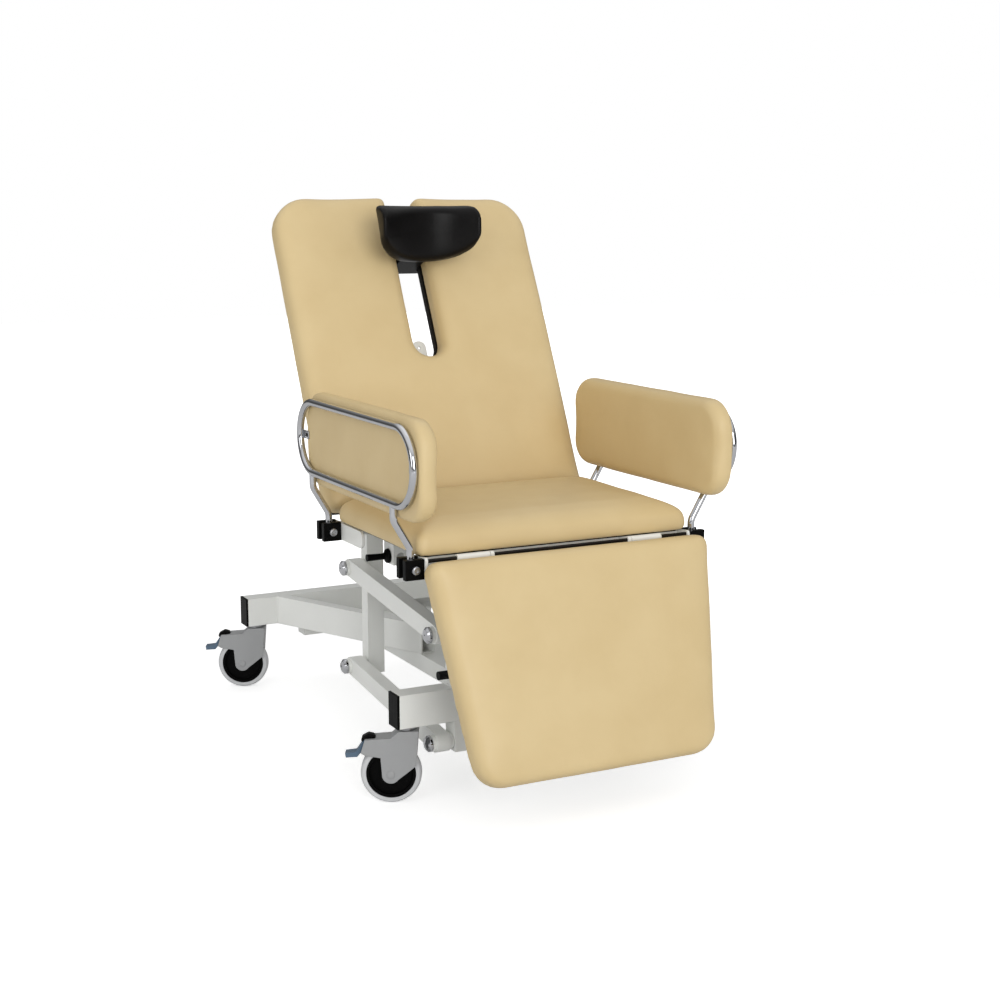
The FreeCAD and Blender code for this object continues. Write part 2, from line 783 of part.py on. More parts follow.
def castor(name, side, beam_y):
    """Housing, wheel core, tyre and brake pedal of one castor, trailing outwards and back."""
    toe = s.castor_toe if side > 0 else 180 - s.castor_toe
    stem_x = side * (beam_half - s.stem_inset)
    wheel_x = stem_x + s.wheel_trail * cosine(toe)
    wheel_y = beam_y + s.wheel_trail * sine(toe)
    top = s.beam_bottom - s.stem_collar_height - s.side_gap - s.wheel_radius
    half_width = s.wheel_width / 2 + s.wheel_room
    hood = s.wheel_radius + s.wheel_room
    housing_width = 2 * (half_width + s.fork_wall)
    hub = 3.6 * s.axle_radius
    heel = s.wheel_trail + 1.3 * s.stem_collar_radius
    pin_x, pin_z = 0.72 * s.wheel_radius, s.wheel_radius

    def at_wheel(feature):
        return place(feature, wheel_x, wheel_y, s.wheel_radius, (0, 0, 1), toe)

    outline = [(-heel, top), (-0.9 * heel, 0.3 * s.wheel_radius), (-0.8 * hub, -0.6 * hub),
               (0.8 * hub, -0.6 * hub), (hub, 0), (1.15 * hub, 0.58 * s.wheel_radius),
               (0.8 * hood, 0.66 * s.wheel_radius), (0.93 * hood, 0.74 * s.wheel_radius),
               (0.8 * hood, 1.12 * hood), (0, 1.06 * hood + 0.3 * (top - hood)), (-0.3 * heel, top)]
    side_view = fuse(
        plate(outline, housing_width, "XZ_Plane"),
        rod_y(hub, 0, -housing_width / 2, housing_width, 0))
    wheel_space = rod_y(hood, 0, -half_width, 2 * half_width, 0)
    pedal_half = s.pedal_width / 2 + s.side_gap
    pedal_space = block(
        0.5 * s.wheel_radius, -pedal_half, 0, 2 * s.wheel_radius, 2 * pedal_half, 3 * s.wheel_radius)
    stem_bore = rod_z(s.stem_radius + s.running_gap, -s.wheel_trail, 0, top - s.stem_depth, s.stem_depth)
    axle = rod_y(s.axle_radius, 0, -housing_width / 2, housing_width, 0)
    pedal_pin = rod_y(s.pedal_pin_radius, pin_x, -housing_width / 2, housing_width, pin_z)
    housing = fuse(cut(side_view, wheel_space, pedal_space, stem_bore), axle, pedal_pin)
    sub_part(f"{name}_housing", at_wheel(housing))

    half = s.wheel_width / 2
    bore = s.axle_radius + s.running_gap
    rim = s.wheel_core_radius
    boss = half + s.side_gap
    core_profile = [(bore, -boss), (hub, -boss), (hub, -0.55 * half), (0.86 * rim, -0.4 * half),
                    (0.88 * rim, -0.86 * half), (rim, -0.86 * half), (rim, 0.86 * half),
                    (0.88 * rim, 0.86 * half), (0.86 * rim, 0.4 * half), (hub, 0.55 * half),
                    (hub, boss), (bore, boss)]
    sub_part(f"{name}_wheel", at_wheel(turned(core_profile, "Y")))

    inner = rim + s.running_gap
    tread = s.wheel_radius
    crown = 0.12 * (tread - inner)
    tyre_profile = [(inner, -half), (tread - 3 * crown, -half), (tread - crown, -0.75 * half),
                    (tread, -0.4 * half), (tread, 0.4 * half), (tread - crown, 0.75 * half),
                    (tread - 3 * crown, half), (inner, half)]
    sub_part(f"{name}_tyre", at_wheel(turned(tyre_profile, "Y")))

    thick = s.pedal_thickness
    pin_hole = s.pedal_pin_radius + s.running_gap
    tip_z = 0.54 * s.wheel_radius
    lever = [(pin_x - thick, pin_z - 0.7 * thick), (pin_x + thick, pin_z - thick),
             (1.1 * s.wheel_radius, tip_z + 0.2 * thick), (s.pedal_reach, tip_z),
             (s.pedal_reach + 0.2 * thick, tip_z + 1.3 * thick),
             (1.14 * s.wheel_radius, tip_z + 1.7 * thick), (pin_x + 1.3 * thick, pin_z + 1.2 * thick),
             (pin_x - 0.8 * thick, pin_z + 1.2 * thick)]
    pedal = plate(lever, s.pedal_width, "XZ_Plane", [(pin_x, pin_z, pin_hole)])
    sub_part(f"{name}_pedal", at_wheel(pedal))


# Parallelogram lift

def lift_arms(label, pivot_z):
    """One level of lift arms, left and right, with a bushed eye at each end."""
    bore = s.pin_radius + s.running_gap
    start = s.arm_x - s.eye_length / 2
    side = s.arm_x - s.arm_width / 2
    bar = block(side, 0, -s.arm_height / 2, s.arm_width, s.arm_length, s.arm_height)
    eyes = [rod_x(s.eye_radius, start, s.eye_length, y, 0) for y in (0, s.arm_length)]
    bore_length = s.eye_length + 2 * s.side_gap
    bores = [rod_x(bore, start - s.side_gap, bore_length, y, 0) for y in (0, s.arm_length)]
    rounds = [rod_x(s.arm_height / 2, side, s.arm_width, y, 0) for y in (0, s.arm_length)]
    arm = cut(fuse(bar, *eyes, *rounds), *bores)
    sub_part(label, place(both_sides(arm), 0, front_pivot_y, pivot_z, (1, 0, 0), s.arm_rise))


def arm_cross_tube():
    """Tube between the upper arms that the lift cylinder pushes."""
    half = s.arm_x - s.arm_width / 2
    tube = rod_x(
        s.cross_tube_radius, -half, 2 * half,
        front_pivot_y + s.cross_tube_along * cosine(s.arm_rise),
        s.upper_pivot_z + s.cross_tube_along * sine(s.arm_rise))
    sub_part("arm_cross_tube", tube)


def lift_cylinder():
    """Cylinder and piston rod, lying along the line from the clevis to the cross tube."""
    run = s.cross_tube_along * cosine(s.arm_rise) - s.foot_behind
    rise = s.cross_tube_along * sine(s.arm_rise) + s.foot_drop
    reach = length_of(run, rise)
    lean = direction_of(rise, run)
    foot_y = front_pivot_y + s.foot_behind
    foot_z = s.upper_pivot_z - s.foot_drop
    half = s.rod_eye_width / 2
    bottom = s.foot_eye_radius + s.clevis_wall

    eye = rod_x(s.foot_eye_radius, -half, 2 * half, 0, 0)
    neck = rod_z(s.foot_eye_radius * 0.8, 0, 0, 0, bottom + s.cylinder_wall)
    barrel = rod_z(s.cylinder_radius, 0, 0, bottom, s.cylinder_length)
    chamber = rod_z(s.cylinder_radius - s.cylinder_wall, 0, 0, bottom + s.cylinder_wall,
                    s.cylinder_length - 2 * s.cylinder_wall)
    gland = rod_z(s.rod_radius + s.running_gap, 0, 0, bottom + s.cylinder_wall, s.cylinder_length)
    pin_hole = rod_x(s.foot_pin_radius + s.running_gap, -half - s.side_gap, 2 * half + 2 * s.side_gap, 0, 0)
    cylinder = cut(fuse(eye, neck, barrel), chamber, gland, pin_hole)
    sub_part("lift_cylinder", place(cylinder, 0, foot_y, foot_z, (1, 0, 0), lean - 90))

    eye_bore = s.cross_tube_radius + s.rod_eye_gap
    ring = rod_x(eye_bore + s.rod_eye_wall, -half, 2 * half, 0, reach)
    ring_bore = rod_x(eye_bore, -half - s.side_gap, 2 * half + 2 * s.side_gap, 0, reach)
    rod_foot = bottom + s.cylinder_length - s.rod_overlap
    piston = rod_z(s.cylinder_radius - s.cylinder_wall - s.running_gap, 0, 0, rod_foot, s.rod_radius)
    rod = rod_z(s.rod_radius, 0, 0, rod_foot, reach - eye_bore - rod_foot)
    piston_rod = cut(fuse(ring, rod, piston), ring_bore)
    sub_part("lift_piston_rod", place(piston_rod, 0, foot_y, foot_z, (1, 0, 0), lean - 90))


def lift_posts():
    """Moving posts that the arms carry, up to the seat frame."""
    hole = s.pin_radius + s.running_gap
    half = s.post_depth / 2
    foot = lower_pivot_z + arm_climb - s.bracket_margin
    outline = [(-half, foot), (half, foot), (half, frame_bottom), (-half, frame_bottom)]
    holes = [(0, lower_pivot_z + arm_climb, hole), (0, s.upper_pivot_z + arm_climb, hole)]
    post = plate(outline, s.post_width, "YZ_Plane", holes)
    place(post, post_inner + s.post_width / 2, rear_pivot_y, 0)
    sub_part("lift_posts", both_sides(post))


# Seat

def hollow_tubes(tubes):
    """Weld box tubes together and hollow them; a tube is its low corner, its size and the axis it follows."""
    outer = []
    inner = []
    for corner, sizes, axis in tubes:
        outer.append(block(*corner, *sizes))
        walls = [0 if index == axis else s.frame_wall for index in range(3)]
        inner_corner = [as_size(low) + wall for low, wall in zip(corner, walls)]
        inner_sizes = [as_size(size) - 2 * as_size(wall) for size, wall in zip(sizes, walls)]
        inner.append(block(*inner_corner, *inner_sizes))
    return cut(fuse(*outer), fuse(*inner))


def seat_frame():
    """Welded frame: side rails, cross tubes, side plates at the clamps and ears for the hinge rod."""
    tube = s.frame_tube
    front_y = s.front_beam_y - s.front_tube_ahead - tube / 2
    rear_y = rear_clamp_y - tube / 2
    plate_inner = jaw_inner - s.side_plate_thickness
    rail_end = back_axis_y - s.seat_front_ahead / 2
    tubes = [
        ((-plate_inner, front_y, frame_bottom), (2 * plate_inner, tube, tube), 0),
        ((-plate_inner, rear_y, frame_bottom), (2 * plate_inner, tube, tube), 0),
    ]
    for x in (post_inner, -link_face):
        tubes.append(((x, front_y, frame_bottom), (s.post_width, rail_end - front_y, tube), 1))
    frame = hollow_tubes(tubes)

    low = clamp_z - s.side_plate_height / 2
    high = clamp_z + s.side_plate_height / 2 - s.side_gap
    nose = leg_axis_y - s.knuckle_radius
    heel = front_y + tube
    crest = leg_axis_z + s.knuckle_radius
    front_plate = plate([(nose, low), (heel, low), (heel, s.frame_top), (leg_axis_y, crest), (nose, crest)],
                        s.side_plate_thickness, "YZ_Plane")
    round_corners(front_plate, s.knuckle_radius * 0.9, lambda spot: spot.y < nose.number + 1)
    place(front_plate, plate_x)
    rear_tip = rear_clamp_y - s.rear_plate_reach
    rear_heel = rear_clamp_y + s.jaw_size / 2 + s.jaw_thickness
    rear_plate = plate([(rear_tip, low), (rear_heel, low), (rear_heel, high), (rear_tip, high)],
                       s.side_plate_thickness, "YZ_Plane")
    round_corners(rear_plate, s.side_plate_height * 0.42, lambda spot: spot.y < rear_tip.number + 1)
    place(rear_plate, plate_x)

    ear = plate([(nose, leg_axis_z - s.knuckle_radius), (front_y, frame_bottom), (front_y, s.frame_top),
                 (leg_axis_y, crest), (nose, crest)],
                s.clevis_wall, "YZ_Plane", [(leg_axis_y, leg_axis_z, s.hinge_rod_radius + s.running_gap)])
    round_corners(ear, s.knuckle_radius * 0.9, lambda spot: spot.y < nose.number + 1)
    place(ear, s.knuckle_x - s.knuckle_length / 2 - s.side_gap - s.clevis_wall / 2)

    lug_radius = s.frame_tube / 2
    lug_end = back_axis_y + lug_radius
    post_end = rear_pivot_y + s.post_depth / 2
    shelf = back_axis_z - s.running_gap
    lug = plate([(rail_end, frame_bottom), (post_end, frame_bottom), (post_end, shelf),
                 (lug_end, shelf), (lug_end, back_axis_z + lug_radius / 2),
                 (back_axis_y, back_axis_z + lug_radius), (rail_end, s.frame_top)],
                s.post_width, "YZ_Plane", [(back_axis_y, back_axis_z, s.back_pin_radius + s.running_gap)])
    place(lug, post_inner + s.post_width / 2)

    extras = [front_plate, rear_plate, ear, lug]
    sub_part("seat_frame", fuse(frame, *extras, *[mirrored(piece) for piece in extras]))


def accessory_sockets():
    """Clamping sockets for a round accessory bar, under the side rails."""
    y = s.front_beam_y + s.socket_behind
    bore_z = s.frame_top - s.socket_drop
    half = s.socket_width / 2
    bore_x = link_face + half
    base = block(link_face, y - s.socket_length / 2, bore_z - half, s.socket_width, s.socket_length,
                 s.socket_drop + half)
    bore = rod_y(s.socket_bore / 2, bore_x, y - s.socket_length, 2 * s.socket_length, bore_z)
    stud_hole = rod_x(s.knob_stud_radius + s.running_gap, bore_x, s.socket_width, y, bore_z)
    sub_part("accessory_sockets", both_sides(cut(base, bore, stud_hole)))


def clamp_knob(label, side):
    """T-knob whose stud clamps the accessory bar."""
    y = s.front_beam_y + s.socket_behind
    z = s.frame_top - s.socket_drop
    face = link_face + s.socket_width + s.side_gap
    flange = s.knob_flange_radius
    profile = [(0, -s.knob_stud_length), (s.knob_stud_radius, -s.knob_stud_length), (s.knob_stud_radius, 0),
               (flange, 0), (0.94 * flange, 0.3 * flange), (0.5 * flange, 0.55 * flange),
               (0.42 * flange, 0.8 * flange), (0.48 * flange, s.knob_handle_length),
               (0, s.knob_handle_length)]
    knob = turned(profile, "X")
    place(knob, side * face, y, z, (0, 0, 1), 0 if side > 0 else 180)
    sub_part(label, knob)


def armrest_clamps():
    """Black jaws on both sides of each armrest leg, and the bolt each leg turns on."""
    gap = s.arm_leg_radius + 1.5 * s.side_gap
    hole = s.bolt_radius + s.running_gap
    half = s.jaw_size / 2
    square = [(-half, -half), (half, -half), (half, half), (-half, half)]
    jaws = []
    bolts = []
    reach = gap + s.jaw_thickness
    for y in (front_clamp_y, rear_clamp_y):
        for turn in (-1, 1):
            jaw = plate(square, s.jaw_thickness, "XZ_Plane", [(0, 0, hole)])
            place(jaw, clamp_x, y + turn * (gap + s.jaw_thickness / 2), clamp_z)
            jaws += [jaw, mirrored(jaw)]
        head = s.bolt_head_height
        profile = [(0, -reach - head), (s.bolt_head_radius, -reach - head), (s.bolt_head_radius, -reach),
                   (s.bolt_radius, -reach), (s.bolt_radius, reach + head), (0, reach + head)]
        bolt = place(turned(profile, "Y"), clamp_x, y, clamp_z)
        bolts += [bolt, mirrored(bolt)]
    sub_part("armrest_clamps", together(*jaws))
    sub_part("clamp_bolts", together(*bolts))


def seat_cushion():
    """Thin board and crowned seat pad."""
    back_end = s.seat_front_ahead - s.seat_length
    board_front = s.front_beam_y - s.front_tube_ahead - s.frame_tube / 2
    board_rear = s.front_beam_y - back_end
    half = s.seat_width / 2 - s.seat_board_margin
    board = plate([(-half, board_front), (half, board_front), (half, board_rear), (-half, board_rear)],
                  s.seat_board_thickness, "XY_Plane")
    sub_part("seat_board", place(board, 0, 0, s.frame_top + s.seat_board_thickness / 2))
    corners = rectangle(s.seat_width.number, 0, s.seat_length.number)
    front, rear = s.seat_front_corner.number, s.seat_rear_corner.number
    pad = shaped(cushion(corners, [front, front, rear, rear], s.seat_thickness.number, SEAT_LEVELS))
    sub_part("seat_cushion", place(pad, 0, seat_front_y, seat_base))


# Leg section

def leg_section():
    """Hinge rod, frame, board and tapered pad of the leg section."""
    plate_inner = jaw_inner - s.side_plate_thickness
    hinge_rod = rod_x(s.hinge_rod_radius, -plate_inner, 2 * plate_inner, leg_axis_y, leg_axis_z)
    sub_part("leg_hinge_rod", hinge_rod)

    pad_rear = s.leg_thickness - s.leg_front_offset
    board_rear = pad_rear + s.board_thickness
    bar_line = board_rear + s.leg_bar_thickness / 2
    knuckle = rod_x(s.knuckle_radius, s.knuckle_x - s.knuckle_length / 2, s.knuckle_length, 0, 0)
    bore = rod_x(
        s.hinge_rod_radius + s.running_gap, s.knuckle_x - s.knuckle_length, 2 * s.knuckle_length, 0, 0)
    bulge = s.leg_bar_bulge.number
    x = s.knuckle_x.number
    shoulder = s.knuckle_radius.number
    route = [(shoulder * 0.5, -shoulder * 0.5), (bulge, -1.2 * bulge), (bulge, -3.2 * bulge),
             (bar_line.number, -4.6 * bulge), (bar_line.number, -s.leg_bar_end.number)]
    strip = shaped(bent_strip([Vector(x, y, z) for y, z in route], 0.45 * bulge,
                              s.leg_bar_width.number, s.leg_bar_thickness.number))
    side = cut(fuse(knuckle, strip), bore)
    cross = block(
        -s.knuckle_x, board_rear, -s.leg_cross_bar_at, 2 * s.knuckle_x, s.leg_bar_thickness, s.leg_bar_width)
    sub_part("leg_frame", leg_pose(fuse(side, mirrored(side), cross)))

    margin = s.leg_board_margin
    top = -s.leg_top_drop - margin
    foot = -s.leg_top_drop - s.leg_length + margin
    outline = [(margin - s.leg_bottom_width / 2, foot), (s.leg_bottom_width / 2 - margin, foot),
               (s.leg_width / 2 - margin, top), (margin - s.leg_width / 2, top)]
    board = plate(outline, s.board_thickness, "XY_Plane")
    sub_part("leg_board", leg_pose(board, 0, pad_rear + s.board_thickness / 2, 90))

    corners = rectangle(s.leg_width.number, -s.leg_length.number, 0, s.leg_bottom_width.number)
    low, high = s.leg_bottom_corner.number, s.leg_top_corner.number
    pad = shaped(cushion(corners, [low, low, high, high], s.leg_thickness.number, PAD_LEVELS))
    sub_part("leg_cushion", leg_pose(pad, -s.leg_top_drop, pad_rear, 90))


# Backrest

def slot_tool(width, foot, top, low, high):
    """Solid that cuts a slot with a round foot, open at the top."""
    half = width / 2
    points = [(-half, foot + half), (half, foot + half), (half, top), (-half, top)]
    straight = plate(points, high - low, "XY_Plane")
    place(straight, 0, 0, (low + high) / 2)
    return fuse(straight, rod_z(half, 0, foot + half, low, high - low))


def back_section():
    """Hinge pins, frame, board and slotted pad of the backrest."""
    tube_inner = link_face + s.back_tube_gap
    pin_length = tube_inner + s.back_tube_width - post_inner
    pin = rod_x(s.back_pin_radius, post_inner, pin_length, back_axis_y, back_axis_z)
    sub_part("back_hinge_pins", both_sides(pin))

    pad_rear = s.back_thickness - s.back_front_offset
    board_rear = pad_rear + s.board_thickness
    slot_foot = s.back_top - s.slot_depth
    depth = s.back_tube_depth
    foot = -depth / 2
    side_tube = block(tube_inner, board_rear, foot, s.back_tube_width, depth, s.back_tube_top - foot)
    pin_hole = rod_x(
        s.back_pin_radius + s.running_gap, tube_inner - s.side_gap, s.back_tube_width + 2 * s.side_gap, 0, 0)
    side_tube = cut(side_tube, pin_hole)
    cross_low = slot_foot - s.back_cross_below
    cross = block(-tube_inner, board_rear, cross_low, 2 * tube_inner, depth, s.back_tube_width)
    tab_half = s.tab_width / 2
    tab_top = slot_foot + s.tab_rise
    tab = plate([(-tab_half, cross_low), (tab_half, cross_low), (tab_half, tab_top), (-tab_half, tab_top)],
                s.tab_thickness, "XY_Plane", [(0, tab_top - tab_half, s.guide_radius / 2)])
    round_corners(tab, s.tab_width * 0.45, lambda spot: spot.y > tab_top.number - 1)
    place(tab, 0, board_rear + s.tab_thickness / 2, 0, (1, 0, 0), 90)
    sub_part("back_frame", back_pose(fuse(side_tube, mirrored(side_tube), cross, tab)))

    margin = s.back_board_margin
    half = s.back_width / 2 - margin
    low, high = s.back_foot + margin / 4, s.back_top - margin
    board = plate([(-half, low), (half, low), (half, high), (-half, high)], s.board_thickness, "XY_Plane")
    round_corners(board, s.back_top_corner - margin, lambda spot: spot.y > high.number - 1)
    thick = s.board_thickness
    board_slot = slot_tool(s.slot_width, slot_foot, s.back_top + margin, -thick, thick)
    sub_part("back_board", back_pose(cut(board, board_slot), 0, pad_rear + thick / 2, 90))

    corners = rectangle(s.back_width.number, s.back_foot.number, s.back_top.number)
    low, high = s.back_foot_corner.number, s.back_top_corner.number
    pad = shaped(cushion(corners, [low, low, high, high], s.back_thickness.number, PAD_LEVELS))
    pad_slot = slot_tool(s.slot_width, slot_foot, s.back_top + margin, -thick, s.back_thickness + thick)
    sub_part("back_cushion", back_pose(cut(pad, pad_slot), 0, pad_rear, 90))


# Headrest

def headrest_guides():
    """Two round rails behind the board, held by the cross tube and by end stops."""
    pad_rear = s.back_thickness - s.back_front_offset
    board_rear = pad_rear + s.board_thickness
    slot_foot = s.back_top - s.slot_depth
    low = slot_foot - s.back_cross_below + s.back_tube_width
    high = s.back_top - s.back_board_margin - s.guide_end
    centre = board_rear + s.guide_stop_size / 2
    rail = rod_z(s.guide_radius, s.guide_x, centre, low, high - low)
    size = s.guide_stop_size
    stop = block(s.guide_x - size / 2, board_rear, high, size, size, size)
    sub_part("headrest_guides", back_pose(both_sides(fuse(rail, stop))))


def headrest_carriage():
    """Sliding block in the slot, its plate on the rails, and the arm with the tilt pin."""
    pad_rear = s.back_thickness - s.back_front_offset
    board_rear = pad_rear + s.board_thickness
    front = -s.back_front_offset
    low = s.carriage_rise - s.carriage_height / 2
    half = s.carriage_width / 2
    plate_front = board_rear + s.side_gap
    plate_rear = board_rear + s.guide_stop_size
    plate_half = s.guide_x + s.carriage_plate_margin
    slider = block(-half, front, low, s.carriage_width, plate_front - front, s.carriage_height)
    rear_plate = block(
        -plate_half, plate_front, low, 2 * plate_half, plate_rear - plate_front, s.carriage_height)
    bores = [rod_z(s.guide_radius + s.running_gap, side * s.guide_x, board_rear + s.guide_stop_size / 2,
                   low - s.side_gap, s.carriage_height + 2 * s.side_gap) for side in (-1, 1)]
    pin_behind = front - s.head_pin_ahead
    pin_rise = s.head_pin_rise
    radius = s.head_lug_radius
    cheek = plate([(front, low), (front, low + s.carriage_height),
                   (pin_behind + radius, pin_rise + radius), (pin_behind - radius, pin_rise + radius),
                   (pin_behind - radius, pin_rise - radius)],
                  s.head_cheek, "YZ_Plane")
    lug_half = s.head_lug_width / 2 + s.side_gap
    place(cheek, lug_half + s.head_cheek / 2)
    pin_half = lug_half + s.head_cheek
    pin = rod_x(s.head_pin_radius, -pin_half, 2 * pin_half, pin_behind, pin_rise)
    carriage = fuse(cut(fuse(slider, rear_plate), *bores), cheek, mirrored(cheek), pin)
    sub_part("headrest_carriage", back_pose(carriage))


def headrest():
    """Cupped pad with wings that come forward, and its tilt lug."""
    pin_y, pin_z = back_spot(s.head_pin_rise, -s.back_front_offset - s.head_pin_ahead)
    radius = s.head_lug_radius
    rear = -s.headrest_standoff
    lug_plate = plate([(rear, -radius), (radius, -radius), (radius, radius), (rear, radius)],
                      s.head_lug_width, "YZ_Plane", [(0, 0, s.head_pin_radius + s.running_gap)])
    sub_part("headrest_lug", place(lug_plate, 0, pin_y, pin_z))

    half = s.headrest_width.number / 2
    depth = s.headrest_depth.number
    thickness = s.headrest_thickness.number
    rise, fall = s.headrest_rise.number, s.headrest_fall.number
    corner = s.headrest_corner.number
    wires = []
    for share in (-1, -0.94, -0.83, -0.66, -0.45, -0.22, 0, 0.22, 0.45, 0.66, 0.83, 0.94, 1):
        wing = abs(share) ** 2.4
        tip = s.headrest_tip_round.number * share ** 12
        lean = s.headrest_slope.number * wing
        back_edge = -0.56 * depth * wing
        front_edge = -thickness - (depth - thickness) * wing + tip
        low = -fall + s.headrest_sweep.number * share ** 6 + tip
        front_low = -fall + s.headrest_wing_lift.number * wing + tip
        high = rise - tip
        round_front = corner + (s.headrest_wing_round.number - corner) * wing
        corners = [Vector(front_edge, front_low, 0), Vector(back_edge + lean * low, low, 0),
                   Vector(back_edge + lean * high, high, 0), Vector(front_edge, high, 0)]
        wires.append(rounded_wire(corners, [corner, 0.7 * corner, 0.5 * corner, round_front], share * half))
    pad = shaped(Part.makeLoft(wires, True, False))
    sub_part("headrest_pad", place(pad, 0, pin_y + rear, pin_z, (1, 1, 1), 120))


# Armrests

def armrest(name, side):
    """Chrome loop with two legs, and the padded panel that hangs on its inner side."""
    tube = s.arm_tube_radius.number
    x = loop_x.number
    front = s.front_beam_y.number - s.loop_front_ahead.number - s.front_clamp_ahead.number
    rear = front + s.loop_length.number
    low = clamp_z.number + s.loop_bottom_rise.number
    high = low + s.loop_height.number
    middle = (front + rear) / 2
    bend = s.loop_height.number / 2
    pieces = []
    for end in (front, rear):
        route = [(middle, low), (end, low), (end, high), (middle, high)]
        pieces.append(shaped(bent_tube([Vector(x, y, z) for y, z in route], bend, tube)))
    bores = []
    for y in (front_clamp_y, rear_clamp_y):
        foot_x, z = clamp_x.number, clamp_z.number
        route = [(foot_x, z), (foot_x, z + s.leg_straight_rise.number),
                 (x, z + s.leg_bend_rise.number), (x, low)]
        points = [Vector(spot_x, y.number, spot_z) for spot_x, spot_z in route]
        pieces.append(shaped(bent_tube(points, s.leg_bend_radius.number, s.arm_leg_radius.number)))
        eye_half = s.arm_leg_radius + s.side_gap
        pieces.append(rod_y(s.arm_eye_radius, clamp_x, y - eye_half, 2 * eye_half, clamp_z))
        bore_radius = s.bolt_radius + s.running_gap
        bores.append(rod_y(bore_radius, clamp_x, y - s.jaw_size, 2 * s.jaw_size, clamp_z))
    loop = cut(fuse(*pieces), *bores)

    length, height = s.arm_pad_length.number, s.arm_pad_height.number
    corner = s.arm_pad_corner.number
    outline = [Vector(-length / 2, -height / 2, 0), Vector(length / 2, -height / 2, 0),
               Vector(length / 2, height / 2, 0), Vector(-length / 2, height / 2, 0)]
    pad = shaped(cushion(outline, [corner] * 4, s.arm_pad_thickness.number, ARM_LEVELS))
    pad_x = loop_x - s.arm_tube_radius - s.pad_gap
    pad_y = front_clamp_y + s.clamp_spacing / 2 - s.arm_pad_ahead
    pad_z = clamp_z + s.loop_bottom_rise + s.loop_height / 2 - s.arm_pad_drop
    place(pad, pad_x, pad_y, pad_z, (1, -1, -1), 120)
    if side < 0:
        loop, pad = mirrored(loop), mirrored(pad)
    sub_part(f"{name}_loop", loop)
    sub_part(f"{name}_pad", pad)


# The chair

crossbeam("front_crossbeam", s.front_beam_y)
crossbeam("rear_crossbeam", rear_beam_y)
beam_end_caps()
base_spine()
cylinder_clevis()
rear_tie_bar()
rear_braces()
link_brackets()
front_pivots = [(front_pivot_y, s.upper_pivot_z), (front_pivot_y, lower_pivot_z)]
pivot_pins("front_pivot_pins", link_face - s.bracket_width, front_pivots)
pivot_caps("front_pivot_caps", front_pivots)
stop_buffers()
castor_stems()
for castor_name, castor_side, castor_beam in (
        ("castor_front_left", -1, s.front_beam_y), ("castor_front_right", 1, s.front_beam_y),
        ("castor_rear_left", -1, rear_beam_y), ("castor_rear_right", 1, rear_beam_y)):
    castor(castor_name, castor_side, castor_beam)
lift_arms("upper_arms", s.upper_pivot_z)
lift_arms("lower_arms", lower_pivot_z)
arm_cross_tube()
lift_cylinder()
lift_posts()
rear_pivots = [(rear_pivot_y, s.upper_pivot_z + arm_climb), (rear_pivot_y, lower_pivot_z + arm_climb)]
pivot_pins("rear_pivot_pins", post_inner, rear_pivots)
pivot_caps("rear_pivot_caps", rear_pivots)
seat_frame()
accessory_sockets()
clamp_knob("knob_left", -1)
clamp_knob("knob_right", 1)
armrest_clamps()
seat_cushion()
leg_section()
back_section()
headrest_guides()
headrest_carriage()
headrest()
armrest("armrest_left", -1)
armrest("armrest_right", 1)

doc.recompute()
failed = [item.Name for item in doc.Objects if {"Invalid", "Error"} & set(item.State)]
failed += [item.Label for item in sub_parts if item.Shape.isNull() or not item.Shape.isValid()]
if failed:
    raise RuntimeError(f"these objects failed: {failed}")

os.makedirs("parts", exist_ok=True)
for item in sub_parts:
    item.Shape.exportStep(os.path.join("parts", f"{item.Label}.step"))
    solids = len(item.Shape.Solids)
    print(f"{item.Label}: {solids} solids, {item.Shape.Volume / 1000:.1f} cm3, {item.Shape.BoundBox}")
print(f"{len(sub_parts)} sub-parts")
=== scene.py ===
"""Looks of the treatment chair: upholstery, finishes, small fittings, studio and camera."""

import json
import logging
import math
from dataclasses import dataclass, field
from enum import Enum
from typing import ClassVar, Sequence

import bmesh
import bpy
import numpy
from mathutils import Matrix, Vector, noise


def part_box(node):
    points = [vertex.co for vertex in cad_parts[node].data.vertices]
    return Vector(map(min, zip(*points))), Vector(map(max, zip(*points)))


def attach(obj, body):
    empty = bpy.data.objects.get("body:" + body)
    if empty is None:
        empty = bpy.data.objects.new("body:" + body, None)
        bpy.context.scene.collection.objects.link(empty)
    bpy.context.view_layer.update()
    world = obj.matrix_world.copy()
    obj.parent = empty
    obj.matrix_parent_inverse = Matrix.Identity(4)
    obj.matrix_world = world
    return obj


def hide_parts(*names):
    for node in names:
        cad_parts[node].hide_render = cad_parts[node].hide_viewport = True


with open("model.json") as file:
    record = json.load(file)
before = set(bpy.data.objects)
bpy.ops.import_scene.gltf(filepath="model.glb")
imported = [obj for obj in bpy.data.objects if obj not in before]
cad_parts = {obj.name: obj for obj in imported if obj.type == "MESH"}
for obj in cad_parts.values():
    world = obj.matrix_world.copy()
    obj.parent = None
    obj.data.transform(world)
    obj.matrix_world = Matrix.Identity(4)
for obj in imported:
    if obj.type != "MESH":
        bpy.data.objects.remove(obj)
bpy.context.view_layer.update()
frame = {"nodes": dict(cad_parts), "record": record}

MM = 0.001
log = logging.getLogger("chair")

Point = tuple[float, float]
Colour = tuple[float, float, float]


def linear(colour: Colour) -> tuple[float, float, float, float]:
    """Turn a screen colour of 0 to 255 into the linear colour that shaders take.

    Args:
        colour: Red, green and blue as they show on a screen.

    Returns:
        Linear red, green, blue and a full alpha.
    """
    def channel(value: float) -> float:
        """One channel, by the usual screen curve."""
        share = value / 255
        return share / 12.92 if share <= 0.04045 else ((share + 0.055) / 1.055) ** 2.4
    return (*[channel(value) for value in colour], 1.0)


